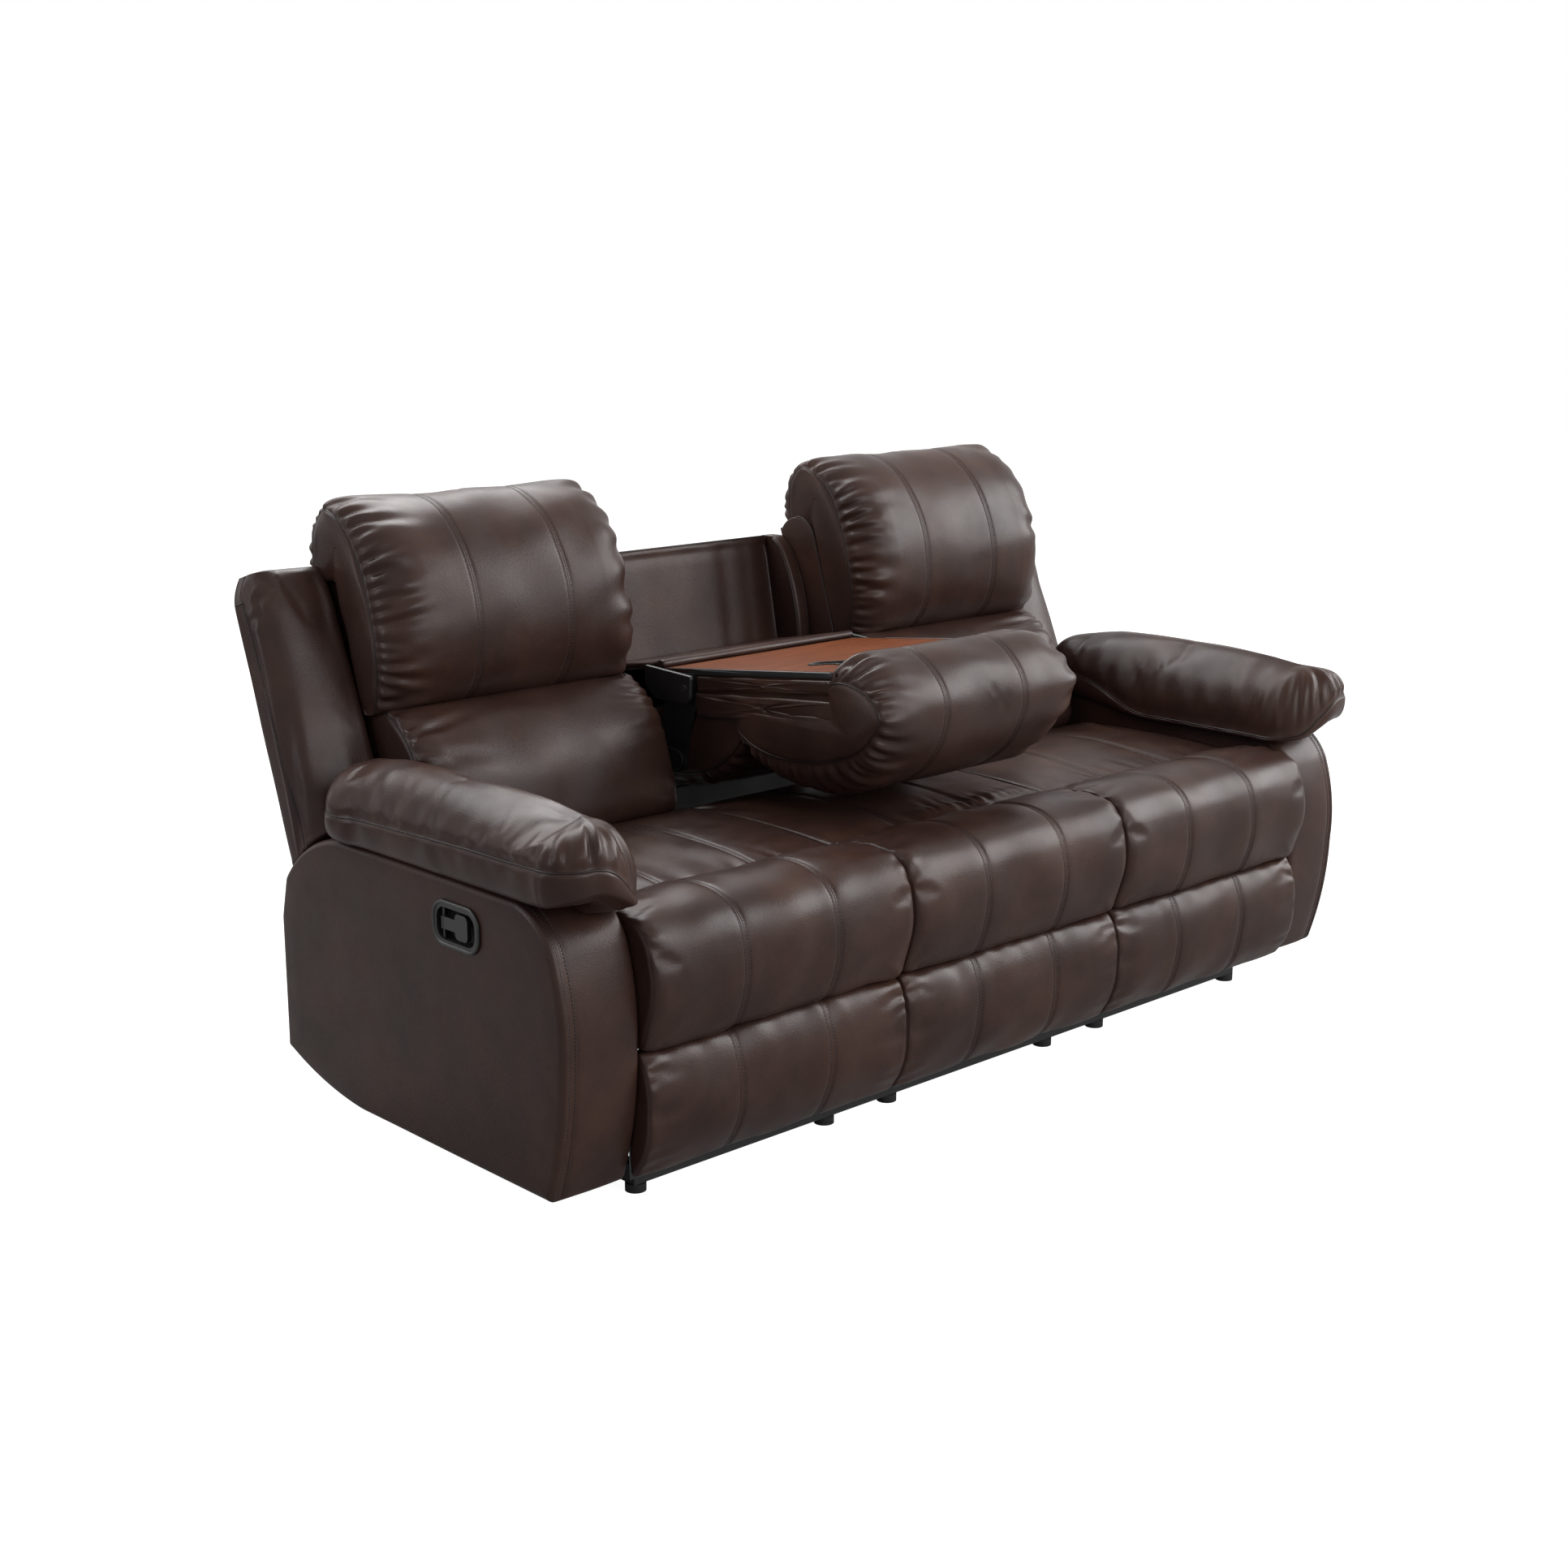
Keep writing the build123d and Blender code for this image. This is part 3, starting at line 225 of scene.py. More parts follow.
# names of the real materials, hex colour and roughness
thread = plain("polyester_thread", "#1d1617", 0.45)
black_plastic = plain("moulded_black_plastic", "#0d0d0e", 0.42, grain=1400.0)
black_steel = plain("powder_coated_steel", "#161617", 0.5, grain=700.0, depth=0.00012)
spring_steel = plain("bare_spring_steel", "#8d8f92", 0.3, metal=1.0)
# the same cloth also makes the dark sheets that are painted shade in the gaps under the sofa
cloth_and_shade_sheet = plain("nonwoven_black_cloth", "#505153", 0.85, grain=1100.0, depth=0.0003)


def timber(name, pale, dark, rings, gloss, shine=0.4):
    """Wood grain: long stretched noise between two colours."""
    finish, tree, place = new_finish(name)
    stretch = add(tree, "ShaderNodeMapping", {"Scale": rings}, {"Vector": place})
    grain = add(tree, "ShaderNodeTexNoise", {"Detail": 6.0, "Roughness": 0.65, "Distortion": 0.6, "Scale": 1.0},
                {"Vector": stretch})
    ramp = add(tree, "ShaderNodeValToRGB", links={"Fac": grain})
    set_stops(ramp, (0.32, colour(dark)), (0.66, colour(pale)))
    bump = add(tree, "ShaderNodeBump", {"Strength": 0.3, "Distance": 0.0002}, {"Height": grain})
    coat = add(tree, "ShaderNodeBsdfPrincipled", {"Roughness": gloss, "Specular IOR Level": shine},
               {"Base Color": ramp, "Normal": bump})
    add(tree, "ShaderNodeOutputMaterial", links={"Surface": coat})
    return finish


tray_laminate = timber("cherry_laminate", "#63351b", "#482312", (9.0, 90.0, 90.0), 0.5, 0.06)
pine = timber("sawn_pine", "#cdaa78", "#a5804f", (60.0, 9.0, 60.0), 0.7)
print("finishes", len(bpy.data.materials))

# %% [markdown]
# Every cushion starts from its side outline, the line an upholsterer would cut the foam to. The
# outline is written as corner points in millimetres, and a pair is an arc through one point to the
# next. Foam and wadding never keep a sharp corner, so the outline is then smoothed a little.

# %% Side outlines

fine_points = 1024      # points of an outline before it is thinned out


def drawn(path):
    """The closed outline as points about a millimetre apart."""
    points = [np.array(path[0], float)]
    for step in list(path[1:]) + [path[0]]:
        here = points[-1]
        if isinstance(step[0], (tuple, list)):
            through, there = np.array(step[0], float), np.array(step[1], float)
            (ax, ay), (bx, by) = through - here, there - here
            twice = 2 * (ax * by - ay * bx)
            middle = here + np.array([by * (ax * ax + ay * ay) - ay * (bx * bx + by * by),
                                      ax * (bx * bx + by * by) - bx * (ax * ax + ay * ay)]) / twice
            start, stop = (math.atan2(*(p - middle)[::-1]) for p in (here, there))
            turn = (stop - start) % math.tau - (math.tau if twice < 0 else 0)
            radius = math.dist(here, middle)
            count = max(3, int(abs(turn) * radius))
            for k in range(1, count + 1):
                angle = start + turn * k / count
                points.append(middle + radius * np.array([math.cos(angle), math.sin(angle)]))
        else:
            there = np.array(step, float)
            count = max(1, int(math.dist(here, there)))
            points.extend(here + (there - here) * k / count for k in range(1, count + 1))
    return np.array(points[:-1])


def evenly(points, count):
    """The closed line again with evenly spaced points, starting at the same corner."""
    closed = np.vstack([points, points[:1]])
    run = np.r_[0, np.cumsum(np.linalg.norm(np.diff(closed, axis=0), axis=1))]
    at = np.linspace(0, run[-1], count, endpoint=False)
    return np.stack([np.interp(at, run, closed[:, k]) for k in range(closed.shape[1])], axis=1), run[-1]


def softened(path, soft, count):
    """Outline with its corners rounded by about soft millimetres."""
    points, around = evenly(drawn(path), fine_points)
    waves = np.fft.fftfreq(fine_points, around / fine_points)
    keep = np.exp(-2 * (math.pi * waves * soft) ** 2)[:, None]
    points = np.real(np.fft.ifft(np.fft.fft(points, axis=0) * keep, axis=0))
    return evenly(points, count)[0]


print("outline helpers ready")

# %% [markdown]
# A cushion is then a stack of such outlines from one end to the other. Near an end each outline is
# drawn in along a quarter ellipse, as a cover is when its end panel pulls on it, and the end itself
# closes to a point in its middle. The result is a plain grid of points, rows across and columns
# around, which is easy to swell, to resample and to press seams into.

# %% From outline to grid


def pulled(path, anchor, share):
    """The outline drawn towards its anchor; share is what is kept each way."""
    def pull(point):
        return tuple(a + (p - a) * k for p, a, k in zip(point, anchor, share))
    return [(pull(s[0]), pull(s[1])) if isinstance(s[0], tuple) else pull(s) for s in path]


def rows_across(low, high, reach, step=11.0):
    """Places of the rows: close together where the ends turn in, even between them."""
    turn = reach * (1 - np.cos(np.radians(np.arange(0, 90, 15))))
    middle = np.linspace(low + reach, high - reach, max(3, int((high - low - 2 * reach) / step)))
    return np.r_[low + turn, middle, (high - turn)[::-1]]


def drawn_in(at, low, high, draw, reach):
    """How far the outline is drawn in at a row."""
    share = np.clip(min(at - low, high - at) / reach, 0, 1)
    return draw * (1 - math.sqrt(1 - (1 - share) ** 2))


def closed_grid(loops, keys, kernel, pillow, ring=12.0):
    """Adds the two end panels: rings that shrink to the kernel and belly out a little.

    A place is a pair: how far on a row is along the cover, and where its section stands."""
    kernel = np.asarray(kernel)
    size = np.linalg.norm(loops[0] - kernel, axis=1).mean()
    shares = np.linspace(1, 0.05, max(4, int(size / ring)))[1:]
    rows, places = list(loops), [(key, key) for key in keys]
    for s in shares:
        far, out = size * (1 - s), pillow * (1 - s * s)
        rows = [kernel + (loops[0] - kernel) * s] + rows + [kernel + (loops[-1] - kernel) * s]
        places = [(keys[0] - far, keys[0] - out)] + places + [(keys[-1] + far, keys[-1] + out)]
    return np.array(rows), np.array(places)


def in_room(place, rows, places):
    """The rows' sections set where they stand, as a grid of points in metres."""
    return place(places[:, 1][:, None] * np.ones(rows.shape[1]), rows[..., 0], rows[..., 1])


def spline(values, at, wrap=False):
    """Smooth values between the rows, on a cubic curve that passes through all of them."""
    first = np.floor(at).astype(int)
    part = (at - first).reshape(-1, *[1] * (values.ndim - 1))
    pick = [(first + k) % len(values) if wrap else np.clip(first + k, 0, len(values) - 1)
            for k in (-1, 0, 1, 2)]
    a, b, c, d = (values[k] for k in pick)
    return b + 0.5 * part * (c - a + part * (2 * a - 5 * b + 4 * c - d + part * (3 * (b - c) + d - a)))


print("grid helpers ready")

# %% [markdown]
# The grid becomes a closed mesh: four-sided faces all round, and a fan to one point in the middle of
# each end. The left-hand pieces are mirrored from the right-hand ones, which would turn their faces
# inside out, so the volume that the faces enclose decides which way they look.

# %% From grid to mesh


def grid_faces(rows, columns, spine=False):
    """Four-sided faces of the grid, wrapped round, and closed by a fan at each end, or along a spine."""
    r, c = np.meshgrid(np.arange(rows - 1), np.arange(columns), indexing="ij")
    n = (c + 1) % columns
    quads = np.stack([r * columns + c, r * columns + n, (r + 1) * columns + n, (r + 1) * columns + c], axis=-1)
    c = np.arange(columns)
    last = (rows - 1) * columns
    high = np.stack([last + c, last + (c + 1) % columns, np.full(columns, rows * columns)], axis=-1)
    if spine:
        c = np.arange(1, (columns - 1) // 2)
        across = np.stack([c + 1, c, columns - c, columns - c - 1], axis=-1).tolist()
        middle = list(range(len(across) + 1, columns - len(across)))
        return quads.reshape(-1, 4).tolist() + across + [[1, 0, columns - 1], middle[::-1]] + high.tolist()
    low = np.stack([(c + 1) % columns, c, np.full(columns, rows * columns + 1)], axis=-1)
    return quads.reshape(-1, 4).tolist() + low.tolist() + high.tolist()


def with_poles(grid, spine=False):
    """The grid's points in a row, then the middles of its last and its first ring."""
    return np.vstack([grid.reshape(-1, 3), grid[-1].mean(axis=0)] + ([] if spine else [grid[0].mean(axis=0)]))


def volume(points, faces):
    """Signed volume, positive when the faces look outwards."""
    total = 0.0
    for size in {len(face) for face in faces}:
        some = np.array([f for f in faces if len(f) == size])
        for k in range(1, size - 1):
            a, b, c = points[some[:, 0]], points[some[:, k]], points[some[:, k + 1]]
            total += np.einsum("ij,ij->", a, np.cross(b, c)) / 6
    return total


def make_mesh(name, points, faces):
    """An object from points and faces, with its faces turned outwards and shaded smooth."""
    if volume(points, faces) < 0:
        faces = [face[::-1] for face in faces]
    mesh = bpy.data.meshes.new(name)
    mesh.from_pydata(points.tolist(), [], faces)
    mesh.shade_smooth()
    return placed(name, mesh)


def made_plain(piece):
    """Replaces a piece's mesh and modifiers by the mesh that they make."""
    mesh = bpy.data.meshes.new_from_object(piece.evaluated_get(bpy.context.evaluated_depsgraph_get()))
    piece.modifiers.clear()
    piece.data = mesh
    mesh.name = piece.name


print("mesh helpers ready")

# %% [markdown]
# Foam pushes a cover out until the cover holds it, and that is what cloth simulation does well. The
# coarse grid becomes a bag with a little air pressure. What is stapled to the frame is pinned, and no
# point may travel further than real foam would let it. Folds come later, so each side has its own.

# %% Swelling a cover


def swell(grid, held, pressure, cap, slack=0.004):
    """The grid after its cover was blown up; held is 1 where it is fixed to the frame.

    Slack below 0 is a cover cut too large, above 0 one cut too small; no point moves further than cap."""
    points = with_poles(grid)
    bag = make_mesh("bag", points, grid_faces(*grid.shape[:2]))
    grip = np.append(held.ravel(), [held[-1].mean(), held[0].mean()])
    pins = bag.vertex_groups.new(name="held")
    for weight in np.unique(np.round(grip, 2)):
        if weight > 0:
            pins.add(np.nonzero(np.round(grip, 2) == weight)[0].tolist(), float(weight), "REPLACE")
    cloth = bag.modifiers.new("cover", "CLOTH")
    for setting, value in {"quality": 4, "mass": 0.4, "tension_stiffness": 18, "compression_stiffness": 12,
                           "shear_stiffness": 6, "bending_stiffness": 1.5, "use_pressure": True,
                           "uniform_pressure_force": pressure, "shrink_min": slack,
                           "vertex_group_mass": pins.name}.items():
        setattr(cloth.settings, setting, value)
    cloth.settings.effector_weights.gravity = 0
    cloth.point_cache.frame_start, cloth.point_cache.frame_end = 1, 20
    for number in range(1, 21):
        bpy.context.scene.frame_set(number)
    done = bag.evaluated_get(bpy.context.evaluated_depsgraph_get()).data
    moved = np.empty(len(done.vertices) * 3)
    done.vertices.foreach_get("co", moved)
    step = moved.reshape(-1, 3) - points
    far = np.linalg.norm(step, axis=1, keepdims=True)
    step *= cap * np.tanh(far / cap) / np.maximum(far, 1e-9)
    bpy.data.objects.remove(bag)
    bpy.context.scene.frame_set(1)
    return grid + step[:-2].reshape(grid.shape)


print("swelling is", "on")

# %% [markdown]
# Seams, gathers and slack are pressed into a finer grid. A seam is a narrow groove with a shallow
# valley round it. A gather is a fold that starts where a full panel is sewn to a shorter one: it is
# deepest just off the seam and dies out a hand's breadth away. Each fold has its own size and slant,
# drawn from a seeded list, so every run gives the same cushion.

# %% Seams, gathers and slack


def groove(away, depth, width):
    """A soft line pressed in by depth, about width to each side."""
    return -depth * np.exp(-((away / width) ** 2))


stitch_off = 5.0        # from a seam to the row of stitches at each side of it


def sewn(away, valley):
    """A double-stitched seam: valley, central groove and two rows of stitches."""
    return groove(away, valley, 11.0) + groove(away, 0.8, 1.2) + groove(np.abs(away) - stitch_off, 1.3, 1.7)


def fold_section(off, beside):
    """Section of a fold: full depth on its line, and a lower wave the other way beside it."""
    return np.exp(-off * off) - beside * np.exp(-((np.abs(off) - 1.9) ** 2))


def gathers(along, away, span, pitch, reach, depth, seed, broad=(0.13, 0.24)):
    """Folds at right angles to a seam, from span[0] to span[1] along it."""
    rng = np.random.default_rng(seed)
    press = np.zeros_like(along)
    at = span[0] + rng.random() * pitch
    while at < span[1]:
        deep, far = depth * rng.uniform(0.35, 1.25), reach * rng.uniform(0.5, 1.35)
        narrow, slant = pitch * rng.uniform(*broad), rng.uniform(-0.3, 0.3)
        out = np.clip(away, 0, None)
        q = (along - at - slant * out) / (narrow * (1 + 1.1 * out / far))
        fade = np.clip(away / 7, 0, 1) * np.exp(-((1.5 * out / far) ** 2))
        press -= deep * fade * fold_section(q, 0.5)
        at += pitch * rng.uniform(0.65, 1.4)
    return press


def slack_waves(across, along, height, seed, size=150.0):
    """Slow uneven swells of a cover that is not quite tight."""
    rng = np.random.default_rng(seed)
    total = np.zeros_like(across)
    for _ in range(9):
        angle, length = rng.uniform(0, math.pi), size * rng.uniform(0.6, 1.7)
        total += np.cos(math.tau * (across * math.cos(angle) + along * math.sin(angle)) / length
                        + rng.uniform(0, math.tau))
    return total * height / 3


def crease(across, along, start, stop, depth, width):
    """One fold between two points of the cover, deepest in its middle."""
    ax, ay = stop[0] - start[0], stop[1] - start[1]
    length = math.hypot(ax, ay)
    run = ((across - start[0]) * ax + (along - start[1]) * ay) / length
    off = ((across - start[0]) * ay - (along - start[1]) * ax) / length
    fade = np.clip(run / length, 0, 1) * np.clip(1 - run / length, 0, 1) * 4
    return -depth * fade * fold_section(off / width, 0.45)


print("relief helpers ready")

# %% [markdown]
# One function takes a cushion from its swollen coarse grid to the finished cover: it resamples the
# grid at the rows and columns that the seams need, asks for the relief at every point, presses it in
# along the surface's own direction and makes the mesh. It also keeps the rows where stitches will run.

# %% Finishing a cover

thread_runs = defaultdict(list)      # body: lines that a row of stitches follows
piping_runs = defaultdict(list)      # body: lines that a corded edge follows
near_end = np.array([0, 1.5, 3, 6, 9, 12.5, 16, 20, 24, 28])
near_seam = np.array([-12, -8.5, -6.5, -5, -3.5, -2, -1, 0, 1, 2, 3.5, 5, 6.5, 8.5, 12])


def finer(places, low, high, seams, step=5.0, cap_step=9.0):
    """Fine rows: even, closer near the ends and exactly on the seams and their stitches."""
    first, last = places[0], places[-1]
    keep = np.r_[np.arange(first, low, cap_step), np.arange(last, high, -cap_step), low + near_end,
                 high - near_end, np.arange(low + 33, high - 30, step)]
    for seam in seams:
        keep = np.r_[keep[np.abs(keep - seam) > 16.0], seam + near_seam]
    keep = np.unique(np.round(keep, 3))
    return keep[np.r_[True, np.diff(keep) > 0.9]]


def columns_at(around, seen, step=5.0, unseen=13.0):
    """Fine columns: close together where the cover is seen, wide apart where it is hidden."""
    start, stop = seen
    hidden = np.r_[np.arange(0, start, unseen), np.arange(stop, around - unseen * 0.6, unseen)]
    return np.unique(np.r_[hidden[hidden < start], np.arange(start, stop, step), hidden[hidden >= stop]])


def cover(name, coarse, places, around, rows, columns, relief, mirrored=False, ends=(-1e6, 1e6), spine=False):
    """The finished cover: the object, its fine grid and its normals. Relief fades out on its ends."""
    flip = np.array([-1.0, 1.0, 1.0]) if mirrored else np.ones(3)
    at_row = np.interp(rows, places, np.arange(len(places)))
    at_column = columns / around * coarse.shape[1]
    grid = spline(coarse * flip, at_row)
    grid = spline(grid.swapaxes(0, 1), at_column, wrap=True).swapaxes(0, 1)
    across, along = np.meshgrid(rows, columns, indexing="ij")
    facing = np.cross(np.gradient(grid, axis=0), np.roll(grid, -1, axis=1) - np.roll(grid, 1, axis=1))
    facing /= np.maximum(np.linalg.norm(facing, axis=-1, keepdims=True), 1e-12)
    if np.sum(facing * (grid - grid.mean(axis=(0, 1)))) < 0:
        facing = -facing
    fade = 36.0
    inside = np.clip(1 - (ends[0] - across) / fade, 0, 1) * np.clip(1 - (across - ends[1]) / fade, 0, 1)
    grid = grid + facing * (relief(across, along) * inside)[..., None] / 1000
    made = make_mesh(name, with_poles(grid, spine), grid_faces(*grid.shape[:2], spine))
    return made, grid, facing


def dress(piece, body, nodes, fill=0, slot="leather", finish=brown_leather):
    """Gives a piece its finish, sets it on its body and hides the CAD nodes it replaces; fill is not used."""
    piece.data.materials.append(finish)
    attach(piece, body)
    if nodes:
        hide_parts(*nodes)
    print(piece.name, len(piece.data.polygons), "faces")


def run_of(grid, facing, rows, row, columns, seen, lift=0.0006):
    """The line along one fine row where it is seen."""
    index = int(np.argmin(np.abs(rows - row)))
    keep = (columns >= seen[0]) & (columns <= seen[1])
    return (grid[index] + facing[index] * lift)[keep]


print("finishing helpers ready")

# %% [markdown]
# The end seats and the middle seat have the same three cushions: the seat itself, the roll over its
# front edge, and the pad on the footrest below. Their outlines are the foam's, with the two
# lengthwise seams that divide each of them in three.

# %% Outlines of the seat

seat_top, seat_base, roll_back = 475.0, 378.4, -280.0
pivot = (162.0, 539.0)                      # the line that the backs turn on: y and z
hollow, rear_gap = 97, 12                   # the seat is hollowed at the rear, round the pivot
seat_seam_end = 440.0                       # along the outline, where the backs begin to hide the seam
sink = math.asin((pivot[1] - seat_top + 4) / hollow)
cushion_rear = pivot[0] - hollow * math.cos(sink)
hollow_end = math.atan2(math.sqrt(hollow ** 2 - rear_gap ** 2), rear_gap)


def on_hollow(turn):
    return (pivot[0] - hollow * math.cos(turn), pivot[1] - hollow * math.sin(turn))


seat_outline = [(-279, seat_base), (-279, 469), (((-279 + cushion_rear) / 2, 478), (cushion_rear, 471)),
                (on_hollow((sink + hollow_end) / 2), on_hollow(hollow_end)), (150, seat_base)]
roll_outline = [(-280, seat_base), (-280, 470), ((-342, 487), (-410, 489)), ((-458, 471), (-480, 425)),
                ((-488, 382), (-479, 335)), (-457, 272), (-401.9, 272), (-401.9, seat_base)]
pad_outline = [(-415.4, 60), ((-426, 60), (-436, 70)), ((-464, 120.2), (-470, 174.5)),
               ((-468, 222), (-456, 255)), ((-446, 266), (-415.4, 265))]


def stack(path, anchor, share, low, high, draw, reach, soft, kernel, pillow, place, hold=()):
    """Coarse grid of a cushion: outlines from low to high, drawn in at the ends and closed."""
    around = evenly(drawn(path), fine_points)[1]
    count = int(around / 11)
    keys = rows_across(low, high, reach)
    loops = []
    for key in keys:
        inset = drawn_in(key, low, high, draw, reach)
        form = pulled(path, anchor, (1 - inset * share[0], 1 - inset * share[1]))
        for index in hold:
            form[index] = (path[index][0], form[index][1])
        loops.append(softened(form, soft, count))
    rows, places = closed_grid(np.array(loops), keys, kernel, pillow)
    return in_room(place, rows, places), places[:, 0], around, rows


def upright(x, y, z):
    """Section points of a seat in the room, in metres."""
    return np.stack([x, y, z], axis=-1) / 1000


print("seat outlines", len(seat_outline), len(roll_outline), len(pad_outline))

# %% Swollen shapes of a seat


def seat_shapes(low, high):
    """Swollen coarse grids of the three cushions, and where each is seen."""
    mid = (roll_back + 150) / 2
    made = {}
    for kind, path, anchor, share, kernel, hold, soft, cap in (
        ("seat", seat_outline, (mid, seat_base), (0.0, 1 / 96.6), (-60, 420), (), 7.0, 0.012),
        ("roll", roll_outline, (-280, 373.5), (1 / 208, 1 / 203), (-432, 420), (0, 6, 7), 7.0, 0.01),
        ("pad", pad_outline, (-415.4, 159), (1 / 55, 0.35 / 55), (-436, 162), (0,), 6.0, 0.012),
    ):
        draw, reach = (8.0, 14.0) if kind == "pad" else (13.0, 22.0)
        grid, places, around, rows = stack(path, anchor, share, low, high, draw, reach, soft, kernel,
                                           0.4, upright, hold)
        p, q = rows[..., 0], rows[..., 1]
        if kind == "seat":
            held = (q < 400) | (p > 100) | (p < -275)
            seen = (60.0, 540.0)
        elif kind == "roll":
            held = (p > -284) | ((q < 380) & (p > -404)) | (q < 276)
            seen = (70.0, 500.0)
        else:
            held = p > -420
            seen = (0.0, around - 200)
        held = held | (places < low + 2)[:, None] | (places > high - 2)[:, None]
        made[kind] = (swell(grid, held.astype(float), 2.5, cap), places, around, seen)
    return made


end_seat, middle_seat = (282.0, 848.0), (-280.0, 280.0)
end_shapes, middle_shapes = seat_shapes(*end_seat), seat_shapes(*middle_seat)
print("seat shapes", {kind: made[0].shape[:2] for kind, made in end_shapes.items()})

# %% Covers of the seats


def make_seat(side, low, high, seams, shapes, nodes):
    """The three cushions of one seat; side is -1 for the mirrored left one."""
    seed = {1: 11, -1: 23, 0: 37}[side]
    for kind, (coarse, places, around, (start, stop)) in shapes.items():
        name, body = nodes[kind]
        rows = finer(places, low, high, seams)
        columns = columns_at(around, (start, stop))

        def relief(across, along):
            low_off, high_off = across - low, high - across
            press = sum(sewn(across - seam, 1.1) for seam in seams)
            press = press + groove(low_off, 1.6, 2.5) + groove(high_off, 1.6, 2.5)
            edge = np.clip(np.minimum(low_off, high_off) / 30, 0, 1)
            press += slack_waves(across, along, 1.6, seed + len(kind)) * (0.3 + 0.7 * edge)
            if kind == "seat":
                press *= np.clip((seat_seam_end + 15 - along) / 40, 0, 1)
                press += edge * gathers(across, along - start, (low, high), 46, 90, 2.2, seed + 1)
                if side == 0:
                    ridge = np.clip((across + 60) / 60, 0, 1) * np.clip((262 - across) / 30, 0, 1)
                    press += 3.4 * ridge * np.exp(-(((along - start - 62) / 17) ** 2))
                    press += gathers(across, along - start - 44, (-30, 246), 25, 70, 3.4, seed + 9)
            if kind == "roll":
                for off, extra in ((low_off, 2), (high_off, 3)):
                    press += gathers(along, off, (start + 70, start + 250), 40, 34, 2.8, seed + extra)
                press += gathers(across, along - start - 6, (low, high), 52, 80, 2.0, seed + 4)
            if kind == "pad":
                for off, extra in ((low_off, 6), (high_off, 7)):
                    press += gathers(along, off, (stop - 90, stop - 10), 30, 50, 3.4, seed + extra)
                press += gathers(across, stop - along, (low + 20, high - 20), 58, 110, 2.2, seed + 8)
            return press

        made, grid, facing = cover(name, coarse, places, around, rows, columns, relief, side < 0, (low, high))
        dress(made, body, [name], fill=0.85)
        sewn_part = (start, seat_seam_end if kind == "seat" else stop)
        for row in [seam + off for seam in seams for off in (-stitch_off, stitch_off)]:
            thread_runs[body].append(run_of(grid, facing, rows, row, columns, sewn_part))


both_sides = ((1, "right"), (-1, "left"))
end_seams, middle_seams = (462.0, 662.0), (-102.0, 102.0)
for side, word in both_sides:
    make_seat(side, *end_seat, end_seams, end_shapes,
              {"seat": (f"seat_cushion_{word}", f"seat_{word}"), "roll": (f"seat_roll_{word}", f"seat_{word}"),
               "pad": (f"footrest_pad_{word}", f"footrest_{word}")})
make_seat(0, *middle_seat, middle_seams, middle_shapes,
          {"seat": ("centre_seat_cushion", "base"), "roll": ("centre_seat_roll", "base"),
           "pad": ("centre_front_pad", "base")})

# %% [markdown]
# Each back has a thick head pillow that rolls over the top of the frame and a lumbar cushion under
# it. The same two cushions sit on the console's door, which is the middle back swung down, so one
# function makes them at either lean. Their ends are gathered hard onto a narrow end panel.

# %% Backs

board_face = 95.6                                     # the cushions' back, behind the pivot's line
end_lean, door_lean = 73.4, 173.4                     # degrees from lying flat behind the pivot
head_outline = [(178, board_face), (174, 34), ((214, -14), (264, -41)), ((354, -54), (450, -37)),
                ((525, 22), (559, 88)), ((545, 136), (509, 177)), ((485, 194), (446, 200)), (426, 192),
                (426, board_face)]
lumbar_outline = [(184, board_face), (180, 34), ((118, -26), (56, -50)), ((-14, -56), (-78, -44)),
                  ((-92, -26), (-95, 8)), (-89, board_face)]


def leaning(lean):
    """Section points up and behind the pivot, placed in the room at that lean."""
    c, s = math.cos(math.radians(lean)), math.sin(math.radians(lean))

    def place(x, up, behind):
        return np.stack([x, pivot[0] + up * c + behind * s, pivot[1] + up * s - behind * c], axis=-1) / 1000
    return place


print("back outlines", len(head_outline), len(lumbar_outline))

# %% Swollen shapes of a back


def back_shapes(inner, outer, low_outer, lean):
    """Swollen coarse grids of a head cushion and its lumbar cushion."""
    made = {}
    for kind, path, anchor, share, low, high, draw, reach, kernel, pillow in (
        ("head", head_outline, (328, board_face), (0.4 / 381, 1 / 149.6), inner, outer, 66.0, 80.0,
         (472, 62), 7.0),
        ("lumbar", lumbar_outline, (89, board_face), (0.2 / 273, 1 / 151.6), inner, low_outer, 30.0, 45.0,
         (40, 35), 2.5),
    ):
        if lean > 90:
            low = -high
        grid, places, around, rows = stack(path, anchor, share, low, high, draw, reach, 9.0, kernel,
                                           pillow, leaning(lean), (0, 1) if kind == "head" else ())
        up, behind = rows[..., 0], rows[..., 1]
        held = (behind > 90) & (up < 452) if kind == "head" else (behind > 88) | (up < -66)
        held = held | (places < low - 0.1)[:, None] | (places > high + 0.1)[:, None]
        made[kind] = (swell(grid, held.astype(float), 3.0, 0.014), places, around, (low, high))
    return made


end_back = back_shapes(293.0, 840.0, 828.0, end_lean)
door = back_shapes(None, 255.0, 246.0, door_lean)
print("back shapes", {kind: made[0].shape[:2] for kind, made in end_back.items()})

# %% Covers of the backs


